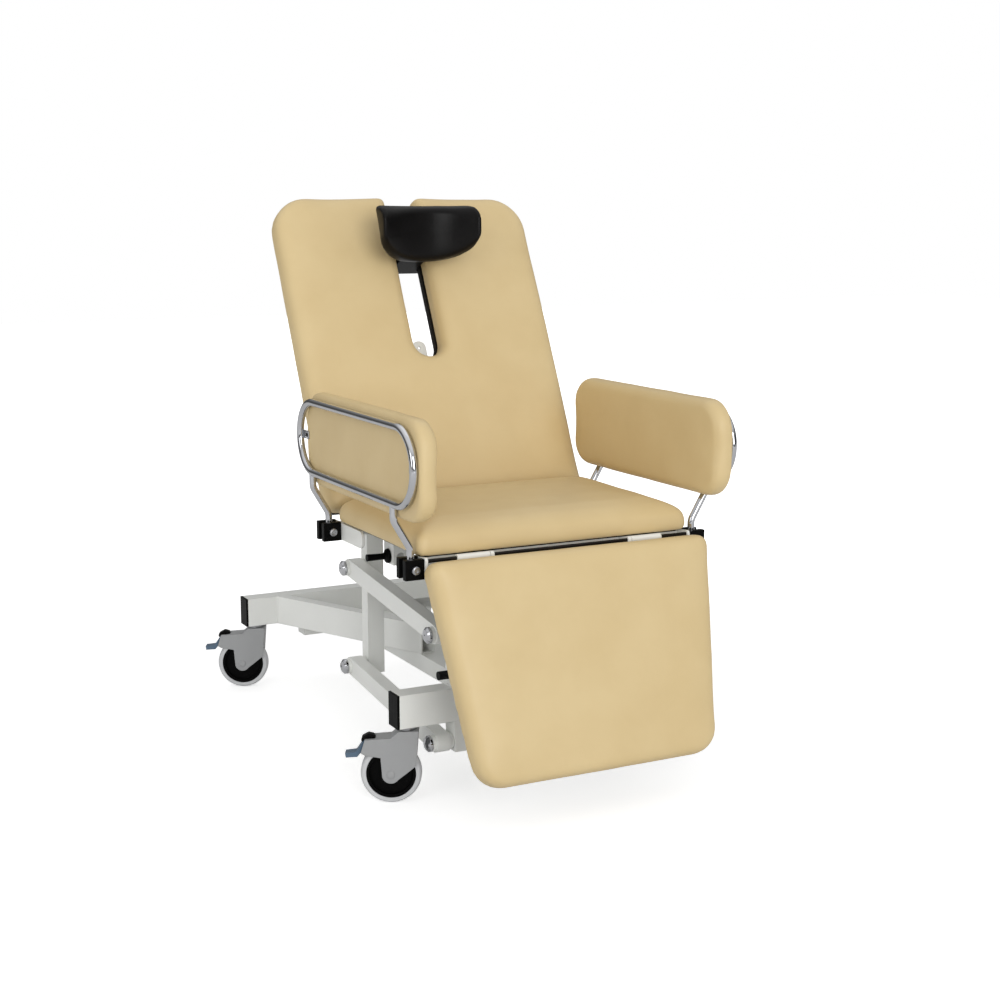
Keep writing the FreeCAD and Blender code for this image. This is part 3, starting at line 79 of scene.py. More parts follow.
def put(name: str, data: bpy.types.ID) -> bpy.types.Object:
    """Make an object and put it into the scene.

    Args:
        name: Of the object.
        data: Its mesh, lamp or camera.

    Returns:
        The object.
    """
    made = bpy.data.objects.new(name, data)
    bpy.context.scene.collection.objects.link(made)
    return made


class Tree:
    """Short way to add and join the nodes of one node tree."""

    def __init__(self, tree: bpy.types.NodeTree) -> None:
        """Keep the tree's lists of nodes and links."""
        self.nodes = tree.nodes
        self.links = tree.links

    @classmethod
    def of(cls, owner: bpy.types.Material | bpy.types.World) -> "Tree":
        """Empty the nodes of a material or a world.

        Args:
            owner: The material or the world.

        Returns:
            Its tree.
        """
        owner.use_nodes = True
        owner.node_tree.nodes.clear()
        return cls(owner.node_tree)

    def add(self, kind: str, settings: dict | None = None, **inputs: object) -> bpy.types.Node:
        """Add one node.

        Args:
            kind: The node's type without its leading words.
            settings: Attributes of the node.
            inputs: Values or sockets by input name, with _ for a space.

        Returns:
            The new node.
        """
        node = self.nodes.new(f"ShaderNode{kind}")
        for name, value in (settings or {}).items():
            setattr(node, name, value)
        for name, value in inputs.items():
            socket = node.inputs[int(name[1:])] if name[1:].isdigit() else node.inputs[name.replace("_", " ")]
            if isinstance(value, bpy.types.NodeSocket):
                self.links.new(value, socket)
            else:
                socket.default_value = value
        return node

    def math(self, operation: str, first: object, second: object = 0.0) -> bpy.types.NodeSocket:
        """Add one sum or comparison and give its result."""
        return self.add("Math", {"operation": operation}, i0=first, i1=second).outputs[0]


class Effect(Enum):
    """Shared surface effects, each one a node group that is built once."""

    TONE = "colour_tone"
    GLOSS = "gloss_change"
    EDGE = "rounded_edge"
    LEATHER = "leather_grain"
    PEEL = "paint_peel"
    MOULD = "mould_texture"
    BRUSH = "brushed_lines"
    PLY = "board_fibre"

    def group(self) -> bpy.types.NodeTree:
        """The group of this effect, built at its first use."""
        return bpy.data.node_groups.get(self.value) or EffectMaker(self).made


class EffectMaker:
    """Builds the node group of one effect."""

    def __init__(self, effect: Effect) -> None:
        """Make the group and fill it by the effect's own method.

        Args:
            effect: The effect, whose value names the method.
        """
        self.made = bpy.data.node_groups.new(effect.value, "ShaderNodeTree")
        self.tree = Tree(self.made)
        getattr(self, effect.value)()

    def takes(self, **inputs: str) -> dict[str, bpy.types.NodeSocket]:
        """Give the group its inputs.

        Args:
            inputs: Socket type of each input by its name.

        Returns:
            The sockets that bring them in, by name.
        """
        for name, kind in inputs.items():
            self.made.interface.new_socket(name, in_out="INPUT", socket_type=f"NodeSocket{kind}")
        return dict(self.tree.nodes.new("NodeGroupInput").outputs.items())

    def gives(self, **outputs: bpy.types.NodeSocket) -> None:
        """Give the group its outputs.

        Args:
            outputs: The socket that each output, by its name, comes from.
        """
        kinds = {"RGBA": "Color", "VECTOR": "Vector", "VALUE": "Float"}
        for name, socket in outputs.items():
            self.made.interface.new_socket(name, in_out="OUTPUT", socket_type=f"NodeSocket{kinds[socket.type]}")
        end = self.tree.nodes.new("NodeGroupOutput")
        for name, socket in outputs.items():
            self.tree.links.new(socket, end.inputs[name])

    def spot(self) -> bpy.types.NodeSocket:
        """Coordinates on the object, in metres."""
        return self.tree.add("TexCoord").outputs["Object"]

    def cloud(self, vector: bpy.types.NodeSocket | None = None, **inputs: object) -> bpy.types.NodeSocket:
        """Noise over the object, or over other coordinates."""
        return self.tree.add("TexNoise", Vector=vector or self.spot(), **inputs).outputs["Fac"]

    def stretched(self, *scale: float) -> bpy.types.NodeSocket:
        """Coordinates on the object, drawn out along some of its axes."""
        return self.tree.add("Mapping", Vector=self.spot(), Scale=scale).outputs[0]

    def colour_tone(self) -> None:
        """Two tones that change slowly over a surface."""
        given = self.takes(Colour="Color", Second="Color", Scale="Float")
        cloud = self.cloud(Scale=given["Scale"], Detail=4.0)
        share = self.tree.add("MapRange", Value=cloud, From_Min=0.32, From_Max=0.7)
        mix = self.tree.add("Mix", {"data_type": "RGBA"}, i0=share.outputs[0], i6=given["Colour"], i7=given["Second"])
        self.gives(Colour=mix.outputs[2])

    def gloss_change(self) -> None:
        """Roughness with handling marks and a fine haze."""
        given = self.takes(Roughness="Float", Spread="Float", Scale="Float")
        cloud = self.cloud(Scale=given["Scale"], Detail=6.0, Roughness=0.65)
        offset = self.tree.math("SUBTRACT", cloud, 0.5)
        change = self.tree.math("MULTIPLY", offset, self.tree.math("MULTIPLY", given["Spread"], 4.0))
        total = self.tree.math("ADD", given["Roughness"], change)
        self.gives(Roughness=self.tree.math("MAXIMUM", total, 0.02))

    def rounded_edge(self) -> None:
        """Soft edge normals and a mask of the edges that rub."""
        given = self.takes(Radius="Float", Wear="Float")
        soft = self.tree.add("Bevel", {"samples": 6}, Radius=given["Radius"]).outputs[0]
        plain = self.tree.add("NewGeometry").outputs["Normal"]
        match = self.tree.add("VectorMath", {"operation": "DOT_PRODUCT"}, i0=soft, i1=plain)
        bend = self.tree.math("SUBTRACT", 1.0, match.outputs["Value"])
        patch = self.tree.add("MapRange", Value=self.cloud(Scale=70.0, Detail=5.0), From_Min=0.42, From_Max=0.66)
        rub = self.tree.math("MULTIPLY", self.tree.math("MULTIPLY", bend, 4.0), patch.outputs[0])
        mask = self.tree.add("Math", {"operation": "MULTIPLY", "use_clamp": True}, i0=rub, i1=given["Wear"])
        self.gives(Normal=soft, Mask=mask.outputs[0])

    def leather_grain(self) -> None:
        """Pebbled skin with soft valleys, and slow waves under it."""
        scale = self.takes(Scale="Float")["Scale"]
        cells = self.tree.add("TexVoronoi", {"feature": "SMOOTH_F1"}, Vector=self.spot(), Scale=scale, Smoothness=0.35)
        waves = self.cloud(Scale=self.tree.math("MULTIPLY", scale, 0.12), Detail=5.0)
        self.gives(Height=self.tree.math("ADD", self.tree.math("MULTIPLY", cells.outputs["Distance"], -0.6), waves))

    def paint_peel(self) -> None:
        """Slight orange peel of a sprayed coat."""
        self.gives(Height=self.cloud(Scale=self.takes(Scale="Float")["Scale"], Detail=2.0))

    def mould_texture(self) -> None:
        """Fine spark-worn skin of moulded plastic and rubber."""
        scale = self.takes(Scale="Float")["Scale"]
        specks = self.cloud(Scale=scale, Detail=3.0, Roughness=0.7)
        dents = self.tree.add("TexVoronoi", Vector=self.spot(), Scale=scale)
        self.gives(Height=self.tree.math("ADD", specks, self.tree.math("MULTIPLY", dents.outputs["Distance"], 0.5)))

    def brushed_lines(self) -> None:
        """Fine lines left by grinding and polishing."""
        scale = self.takes(Scale="Float")["Scale"]
        self.gives(Height=self.cloud(self.stretched(0.05, 1.0, 1.0), Scale=scale, Detail=3.0))

    def board_fibre(self) -> None:
        """Long fibres of a faced board."""
        scale = self.takes(Scale="Float")["Scale"]
        self.gives(Height=self.cloud(self.stretched(1.0, 0.06, 0.06), Scale=scale, Detail=6.0, Distortion=0.4))


@dataclass(frozen=True)
class Finish:
    """One finish of the chair, named as its slot in the record.

    Attributes:
        slot: The record's material slot.
        colour: Main colour on a screen.
        second: The tone that the main colour drifts to.
        roughness: Middle roughness.
        spread: How far roughness drifts.
        grain: Effect that gives the small relief.
        grain_scale: Relief cells per metre.
        grain_depth: Height of the relief in metres.
        metallic: 1 for bare metal.
        coat: Weight of a clear top coat.
        edge: Radius of the soft edges in metres.
        wear: Strength of the rubbed edges.
        rubbed: Colour of rubbed edges.
        specular: Strength of the plain reflection.
    """

    slot: str
    colour: Colour
    second: Colour
    roughness: float
    spread: float
    grain: Effect
    grain_scale: float
    grain_depth: float
    metallic: float = 0.0
    coat: float = 0.0
    edge: float = 0.0012
    wear: float = 0.0
    rubbed: Colour = (120, 120, 118)
    specular: float = 0.5

    def material(self) -> bpy.types.Material:
        """Build the finish as a material, or give the one that is there.

        Returns:
            The material, named after the slot.
        """
        name = f"finish_{self.slot}"
        if name in bpy.data.materials:
            return bpy.data.materials[name]
        material = bpy.data.materials.new(name)
        tree = Tree.of(material)
        tone = self.place(tree, Effect.TONE, Colour=linear(self.colour), Second=linear(self.second), Scale=9.0)
        gloss = self.place(tree, Effect.GLOSS, Roughness=self.roughness, Spread=self.spread, Scale=26.0)
        relief = self.place(tree, self.grain, Scale=self.grain_scale)
        edge = self.place(tree, Effect.EDGE, Radius=self.edge, Wear=self.wear)
        colour = tree.add("Mix", {"data_type": "RGBA"}, i0=edge.outputs["Mask"], i6=tone.outputs["Colour"],
                          i7=linear(self.rubbed))
        bump = tree.add("Bump", Strength=1.0, Distance=self.grain_depth, Height=relief.outputs["Height"],
                        Normal=edge.outputs["Normal"])
        shader = tree.add("BsdfPrincipled", Base_Color=colour.outputs[2], Roughness=gloss.outputs["Roughness"],
                          Normal=bump.outputs[0], Metallic=self.metallic, Coat_Weight=self.coat,
                          Coat_Roughness=0.12, Specular_IOR_Level=self.specular)
        tree.add("OutputMaterial", Surface=shader.outputs[0])
        material.diffuse_color = linear(self.colour)
        return material

    @staticmethod
    def place(tree: Tree, effect: Effect, **inputs: object) -> bpy.types.Node:
        """Put one effect's group into a material with its own values.

        Args:
            tree: The material's nodes.
            effect: The effect.
            inputs: Values by input name.

        Returns:
            The group's node.
        """
        node = tree.nodes.new("ShaderNodeGroup")
        node.node_tree = effect.group()
        for name, value in inputs.items():
            node.inputs[name].default_value = value
        return node


CREAM = Finish("cream_vinyl", (216, 193, 145), (211, 187, 138), 0.46, 0.04, Effect.LEATHER, 620, 0.00018,
               edge=0.002)
BLACK_VINYL = Finish("black_vinyl", (13, 12, 12), (17, 16, 16), 0.34, 0.04, Effect.LEATHER, 620, 0.00012,
                     edge=0.002, specular=0.14)
PAINT = Finish("light_paint", (238, 239, 235), (233, 234, 230), 0.38, 0.05, Effect.PEEL, 380, 0.00010,
               coat=0.15, edge=0.0016, wear=0.5, rubbed=(190, 190, 186))
CHROME = Finish("chrome", (206, 207, 210), (196, 197, 201), 0.08, 0.02, Effect.BRUSH, 500, 0.00001, metallic=1.0)
STEEL = Finish("steel", (178, 179, 182), (160, 161, 164), 0.30, 0.06, Effect.BRUSH, 900, 0.00005, metallic=1.0)
DARK_STEEL = Finish("dark_steel", (50, 48, 46), (42, 40, 39), 0.36, 0.06, Effect.BRUSH, 900, 0.00004, metallic=1.0)
BLACK_PLASTIC = Finish("black_plastic", (6, 6, 6), (9, 9, 9), 0.42, 0.06, Effect.MOULD, 1500, 0.00008,
                       edge=0.002, wear=0.2, rubbed=(22, 22, 23), specular=0.07)
CARRIAGE = Finish("carriage_black", (9, 9, 10), (13, 13, 14), 0.40, 0.05, Effect.MOULD, 1300, 0.00008,
                  edge=0.0025, specular=0.14)
RUBBER = Finish("black_rubber", (13, 13, 14), (18, 18, 19), 0.66, 0.06, Effect.MOULD, 1100, 0.0001,
                specular=0.2)
BOARD = Finish("board", (34, 31, 28), (27, 25, 23), 0.6, 0.08, Effect.PLY, 220, 0.0001, wear=0.3,
               rubbed=(104, 84, 60), specular=0.2)
GREY_PLASTIC = Finish("grey_plastic", (158, 159, 160), (152, 153, 154), 0.44, 0.06, Effect.MOULD, 1300, 0.00008,
                      edge=0.002, wear=0.25, rubbed=(190, 191, 192))
WHEEL_BLACK = Finish("wheel_black", (7, 7, 7), (10, 10, 10), 0.5, 0.06, Effect.MOULD, 1300, 0.00006,
                     specular=0.05)
TYRE = Finish("tyre_grey", (202, 203, 204), (192, 193, 195), 0.5, 0.08, Effect.MOULD, 900, 0.0001)
PEDAL = Finish("pedal_blue", (84, 106, 126), (76, 97, 117), 0.42, 0.06, Effect.MOULD, 1300, 0.00008, edge=0.002)

FINISHES = {finish.slot: finish for finish in (
    CREAM, BLACK_VINYL, PAINT, CHROME, STEEL, DARK_STEEL, BLACK_PLASTIC, CARRIAGE, RUBBER, BOARD, GREY_PLASTIC,
    WHEEL_BLACK, TYRE, PEDAL)}


def finish_object(piece: bpy.types.Object, finish: Finish) -> None:
    """Give a new piece one finish all over.

    Args:
        piece: The new piece.
        finish: Its finish.
    """
    piece.data.materials.clear()
    piece.data.materials.append(finish.material())


class Carried:
    """The rigid nodes that show as they come from the solids."""

    ROUNDED = {"armrest_clamps": 3.5, "beam_end_caps": 2.0, "front_crossbeam": 2.5, "rear_crossbeam": 2.5,
               "rear_tie_bar": 2.0, "base_spine": 2.0, "rear_braces": 2.0, "link_brackets": 2.5, "lift_posts": 2.5,
               "seat_frame": 1.5, "leg_frame": 1.2, "accessory_sockets": 2.0, "headrest_carriage": 2.0}
    CASTOR_ROUND = 2.5
    ROUNDING_STEPS = 3
    SHARP_ANGLE = math.radians(40)

    def dress(self) -> int:
        """Put the finish of its slot on every node and soften the edges that show.

        Returns:
            How many nodes were dressed.
        """
        slots = {entry["node"]: entry["material_slot"] for entry in frame["record"]["subparts"]}
        for name, node in frame["nodes"].items():
            material = FINISHES[slots[name]].material()
            if not node.material_slots:
                node.data.materials.append(material)
            for place in node.material_slots:
                place.material = material
            radius = self.CASTOR_ROUND if name.endswith("_housing") else self.ROUNDED.get(name)
            if radius:
                self.soften(node, radius)
        return len(frame["nodes"])

    @staticmethod
    def soften(node: bpy.types.Object, radius: float) -> None:
        """Round the sharp edges of a node by a modifier that leaves its mesh alone.

        Args:
            node: The node.
            radius: Of the rounding, in millimetres.
        """
        rounding = node.modifiers.new("rounded", "BEVEL")
        rounding.width = radius * MM
        rounding.segments = Carried.ROUNDING_STEPS
        rounding.limit_method = "ANGLE"
        rounding.angle_limit = Carried.SHARP_ANGLE
        rounding.use_clamp_overlap = True
        rounding.harden_normals = True


# Cushions

def rounded_loop(corners: Sequence[Point], radii: Sequence[float], inset: float, turns: int = 7,
                 steps: int = 10) -> list[Point]:
    """Points round an outline whose corners are arcs, moved inwards.

    Args:
        corners: Sharp corners, anticlockwise.
        radii: Radius of each corner.
        inset: How far the outline moves inwards.
        turns: Points along each arc.
        steps: Points along each straight run.

    Returns:
        The points, the same number for every inset.
    """
    count = len(corners)
    spots = [Vector(corner) for corner in corners]
    arcs: list[list[Vector]] = []
    for index, spot in enumerate(spots):
        before = (spot - spots[index - 1]).normalized()
        after = (spots[(index + 1) % count] - spot).normalized()
        bend = before.x * after.y - before.y * after.x
        moved = spot + Vector((-before.y - after.y, before.x + after.x)) * (inset / (1 + before.dot(after)))
        radius = max(radii[index] - inset, 0.3 * radii[index]) if bend > 0 else radii[index] + inset
        half = (math.pi - before.angle(after)) / 2
        reach = radius / math.tan(half)
        centre = moved + (after - before).normalized() * (radius / math.sin(half))
        first = moved - before * reach - centre
        sweep = math.copysign(math.pi - 2 * half, bend)
        arcs.append([centre + Matrix.Rotation(sweep * turn / turns, 2) @ first for turn in range(turns + 1)])
    points: list[Vector] = []
    for index, arc in enumerate(arcs):
        following = arcs[(index + 1) % count][0]
        points += arc
        points += [arc[-1].lerp(following, step / (steps + 1)) for step in range(1, steps + 1)]
    return [(point.x, point.y) for point in points]


def skin(mesh: bmesh.types.BMesh, rings: Sequence[Sequence[bmesh.types.BMVert]]) -> None:
    """Close a row of rings with side faces and two end faces.

    Args:
        mesh: Mesh that holds the points.
        rings: Rings of equally many points, in order.
    """
    for low, high in zip(rings, rings[1:]):
        for index in range(len(low)):
            after = (index + 1) % len(low)
            mesh.faces.new((low[index], low[after], high[after], high[index]))
    mesh.faces.new(list(reversed(rings[0])))
    mesh.faces.new(list(rings[-1]))


def node_box(name: str) -> tuple[Vector, Vector]:
    """Low and high corners of a node's solid in millimetres."""
    low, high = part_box(name)
    return low / MM, high / MM


@dataclass
class Cushion:
    """One upholstered pad: its outline, its roundings and how it is filled.

    Attributes:
        node: The solid it stands for, whose name it takes with a suffix.
        body: The body it rides on.
        finish: Its covering.
        corners: Sharp corners of the outline in its own plane, anticlockwise, in millimetres.
        radii: Radius of each corner.
        thickness: From the flat side to the crown.
        frame_matrix: From the pad's plane to the chair, in millimetres.
        profile: Heights as shares of the thickness and insets, for a domed pad.
        crown_round: Radius of the edge on the crowned side, without a profile.
        flat_round: Radius of the edge on the flat side.
        shrink: How much smaller it starts than its solid.
        cap: How far the filling may push a point through the thickness.
        side_cap: How far it may push one along the pad.
        fill: How tight it is; not used.
        voxel: Size of the remeshed faces.
        calm_rounds: How often the filling's push is evened out.
    """

    node: str
    body: str
    finish: Finish
    corners: Sequence[Point]
    radii: Sequence[float]
    thickness: float
    frame_matrix: Matrix
    profile: Sequence[Point] = ()
    crown_round: float = 26.0
    flat_round: float = 7.0
    shrink: float = 1.0
    cap: float = 7.0
    side_cap: float = 2.0
    fill: float = 0.9
    voxel: float = 6.0
    calm_rounds: int = 40

    FRAMES: ClassVar[int] = 20
    PRESSURE: ClassVar[float] = 4.0
    STIFFNESS: ClassVar[float] = 18.0
    BENDING: ClassVar[float] = 0.6
    SKIN_MASS: ClassVar[float] = 0.3
    SMOOTH_ROUNDS: ClassVar[int] = 2
    WAVE_HEIGHT: ClassVar[float] = 0.7
    LONG_WAVES: ClassVar[float] = 9.0
    SHORT_WAVES: ClassVar[float] = 21.0

    def levels(self) -> list[tuple[float, float]]:
        """Profile of the pad's edge.

        Returns:
            Heights above the flat side and insets of the outline, from the flat side to the crown.
        """
        arc = [math.radians(angle) for angle in (0, 22.5, 45, 67.5, 90)]
        top = self.thickness - self.shrink
        if self.profile:
            return [(share * top, inset) for share, inset in self.profile]
        low = [(self.flat_round * (1 - math.cos(a)), self.flat_round * (1 - math.sin(a))) for a in arc]
        high = [(top - self.crown_round * (1 - math.sin(a)), self.crown_round * (1 - math.cos(a))) for a in arc]
        return low + high

    def start_mesh(self) -> bmesh.types.BMesh:
        """Closed form of the pad before it is filled, in its own plane and in millimetres.

        Returns:
            The mesh, rings from the flat side to the crown with a face on each end.
        """
        mesh = bmesh.new()
        rings = []
        for level, inset in self.levels():
            loop = rounded_loop(self.corners, self.radii, inset + self.shrink)
            rings.append([mesh.verts.new((u, v, level)) for u, v in loop])
        skin(mesh, rings)
        return mesh

    def held(self, point: Vector) -> bool:
        """Whether a point in the pad's plane is on the flat side that its board holds."""
        return point.z < 1.5

    def build(self) -> bpy.types.Object:
        """Make the pad, fill it, smooth it and put it on its body.

        Returns:
            The finished piece.
        """
        mesh = self.start_mesh()
        bmesh.ops.recalc_face_normals(mesh, faces=mesh.faces)
        data = bpy.data.meshes.new(f"{self.node}_upholstery")
        for vert in mesh.verts:
            vert.co *= MM
        mesh.to_mesh(data)
        mesh.free()
        piece = put(f"{self.node}_upholstery", data)
        self.remesh(piece)
        self.inflate(piece)
        self.settle(piece)
        to_chair = Matrix.Scale(MM, 4) @ self.frame_matrix @ Matrix.Scale(1 / MM, 4)
        piece.data.transform(to_chair)
        for face in piece.data.polygons:
            face.use_smooth = True
        piece.modifiers.new("finer", "SUBSURF").render_levels = 1
        finish_object(piece, self.finish)
        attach(piece, self.body)
        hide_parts(self.node)
        return piece

    def remesh(self, piece: bpy.types.Object) -> None:
        """Cut the pad's skin into even small faces.

        Args:
            piece: The pad.
        """
        grid = piece.modifiers.new("even", "REMESH")
        grid.mode = "VOXEL"
        grid.voxel_size = self.voxel * MM
        depsgraph = bpy.context.evaluated_depsgraph_get()
        even = bpy.data.meshes.new_from_object(piece.evaluated_get(depsgraph))
        piece.modifiers.clear()
        old, piece.data = piece.data, even
        bpy.data.meshes.remove(old)

    def inflate(self, piece: bpy.types.Object) -> None:
        """Fill the pad by a cloth simulation and keep the result within the cap.

        Args:
            piece: The pad.
        """
        pins = piece.vertex_groups.new(name="held")
        pins.add([v.index for v in piece.data.vertices if self.held(v.co / MM)], 1.0, "REPLACE")
        cloth = piece.modifiers.new("fill", "CLOTH")
        rules = cloth.settings
        rules.quality = 4
        rules.mass = self.SKIN_MASS
        rules.tension_stiffness = rules.compression_stiffness = self.STIFFNESS
        rules.bending_stiffness = self.BENDING
        rules.use_pressure = True
        rules.uniform_pressure_force = self.PRESSURE
        rules.effector_weights.gravity = 0.0
        rules.vertex_group_mass = "held"
        cloth.point_cache.frame_start, cloth.point_cache.frame_end = 1, self.FRAMES
        scene = bpy.context.scene
        for step in range(1, self.FRAMES + 1):
            scene.frame_set(step)
        depsgraph = bpy.context.evaluated_depsgraph_get()
        filled = [v.co.copy() for v in piece.evaluated_get(depsgraph).data.vertices]
        piece.modifiers.clear()
        piece.vertex_groups.clear()
        limits = numpy.array((self.side_cap, self.side_cap, self.cap)) * MM
        start = numpy.array([v.co for v in piece.data.vertices])
        push = limits * numpy.tanh((numpy.array(filled) - start) / limits)
        push = self.calmed(push, numpy.array([edge.vertices for edge in piece.data.edges]))
        for vert, spot in zip(piece.data.vertices, start + push):
            vert.co = spot
        scene.frame_set(1)

    def calmed(self, push: numpy.ndarray, edges: numpy.ndarray) -> numpy.ndarray:
        """Even out the filling's push, so that the skin swells without dents.

        Args:
            push: Move of every point.
            edges: Pairs of points that an edge joins.

        Returns:
            The moves, each averaged with its neighbours' a number of times.
        """
        ends = numpy.concatenate((edges, edges[:, ::-1]))
        count = numpy.bincount(ends[:, 0], minlength=len(push))[:, None] + 1
        for _ in range(self.calm_rounds):
            total = push.copy()
            numpy.add.at(total, ends[:, 0], push[ends[:, 1]])
            push = total / count
        return push

    def settle(self, piece: bpy.types.Object) -> None:
        """Smooth the skin and give it the slight waves of a foam pad.

        Args:
            piece: The pad.
        """
        mesh = bmesh.new()
        mesh.from_mesh(piece.data)
        for _ in range(self.SMOOTH_ROUNDS):
            bmesh.ops.smooth_vert(mesh, verts=mesh.verts, factor=0.5, use_axis_x=True, use_axis_y=True,
                                  use_axis_z=True)
        mesh.normal_update()
        for vert in mesh.verts:
            if vert.co.z > 2 * MM:
                wave = noise.noise(vert.co * self.LONG_WAVES) + 0.5 * noise.noise(vert.co * self.SHORT_WAVES)
                vert.co += vert.normal * (self.WAVE_HEIGHT * MM * wave)
        mesh.to_mesh(piece.data)
        mesh.free()


def plane(across: Sequence[float], along: Sequence[float], out: Sequence[float], start: Sequence[float]) -> Matrix:
    """Matrix to the chair from a plane with its own directions.

    Args:
        across: The plane's X in the chair.
        along: Its Y.
        out: Its Z.
        start: Its origin.

    Returns:
        The matrix.
    """
    return Matrix(((*across, 0), (*along, 0), (*out, 0), (*start, 1))).transposed()


def tilted(origin_y: float, origin_z: float, degrees: float, along: float, behind: float) -> Matrix:
    """Plane of a pad on a hinged section.

    Args:
        origin_y: Hinge line's place along the chair.
        origin_z: Hinge line's height.
        degrees: How far the section leans back from upright.
        along: Start of the pad's own plane along the section.
        behind: Place of its flat side behind the hinge line.

    Returns:
        Matrix from the pad's plane, crown forwards, to the chair.
    """
    lean = math.radians(degrees)
    up = Vector((0, math.sin(lean), math.cos(lean)))
    back = Vector((0, math.cos(lean), -math.sin(lean)))
    start = Vector((0, origin_y, origin_z)) + up * along + back * behind
    return plane((1, 0, 0), up, -back, start)


LEG_HINGE: Point = (-458.5, 521.0)
LEG_LEAN = 16.9
BACK_HINGE: Point = (58.5, 505.0)
BACK_LEAN = 26.2


@dataclass
class SeatPad:
    """The seat's cushion, as large as its solid."""

    front_corner: float = 22.0
    rear_corner: float = 14.0
    profile: tuple[Point, ...] = ((0, 4), (0.07, 1), (0.2, 0), (0.38, 0.5), (0.55, 4), (0.69, 12), (0.81, 27),
                                  (0.92, 60), (1, 130))

    def build(self) -> bpy.types.Object:
        """Make the seat cushion.

        Returns:
            The finished piece.
        """
        low, high = node_box("seat_cushion")
        length = high.y - low.y
        outline = [(low.x, 0), (high.x, 0), (high.x, length), (low.x, length)]
        place = Matrix.Translation((0, low.y, low.z))
        radii = [self.front_corner, self.front_corner, self.rear_corner, self.rear_corner]
        return Cushion("seat_cushion", "carrier", CREAM, outline, radii, high.z - low.z, place,
                       profile=self.profile).build()


@dataclass
class LegPad:
    """The tapered cushion of the leg section."""

    top_drop: float = 3.0
    length: float = 452.0
    top_width: float = 648.0
    foot_width: float = 539.0
    thickness: float = 54.0
    flat_side: float = -12.6

    def build(self) -> bpy.types.Object:
        """Make the leg cushion.

        Returns:
            The finished piece.
        """
        foot, top = self.foot_width / 2, self.top_width / 2
        outline = [(-foot, -self.length), (foot, -self.length), (top, 0), (-top, 0)]
        place = tilted(*LEG_HINGE, LEG_LEAN, -self.top_drop, self.flat_side)
        return Cushion("leg_cushion", "leg_section", CREAM, outline, [60, 60, 25, 25], self.thickness, place,
                       crown_round=22.0, flat_round=5.0).build()


@dataclass
class BackPad:
    """The slotted cushion of the backrest."""

    half_width: float = 324.0
    foot: float = 12.0
    top: float = 768.0
    slot_half: float = 35.0
    slot_foot: float = 365.0
    thickness: float = 55.0
    flat_side: float = -25.0

    def build(self) -> bpy.types.Object:
        """Make the back cushion.

        Returns:
            The finished piece.
        """
        x, slot = self.half_width, self.slot_half
        outline = [(-x, self.foot), (x, self.foot), (x, self.top), (slot, self.top), (slot, self.slot_foot),
                   (-slot, self.slot_foot), (-slot, self.top), (-x, self.top)]
        radii = [30, 30, 88, 16, slot - 1, slot - 1, 16, 88]
        place = tilted(*BACK_HINGE, BACK_LEAN, 0.0, self.flat_side)
        return Cushion("back_cushion", "back_section", CREAM, outline, radii, self.thickness, place,
                       crown_round=24.0).build()


@dataclass
class ArmPad:
    """The padded panel of one armrest, as large as its solid."""

    name: str
    side: int
    corner: float = 64.0

    def build(self) -> bpy.types.Object:
        """Make the arm pad, flat towards its loop.

        Returns:
            The finished piece.
        """
        node = f"armrest_{self.name}_pad"
        low, high = node_box(node)
        u, v = (high.y - low.y) / 2, (high.z - low.z) / 2
        outline = [(-u, -v), (u, -v), (u, v), (-u, v)]
        middle = (low + high) / 2
        outer = self.side * max(abs(low.x), abs(high.x))
        place = plane((0, -self.side, 0), (0, 0, 1), (-self.side, 0, 0), (outer, middle.y, middle.z))
        return Cushion(node, f"{self.name}_armrest", CREAM, outline, [self.corner] * 4, high.x - low.x, place,
                       crown_round=20.0, flat_round=11.0, cap=4.0, voxel=5.0).build()


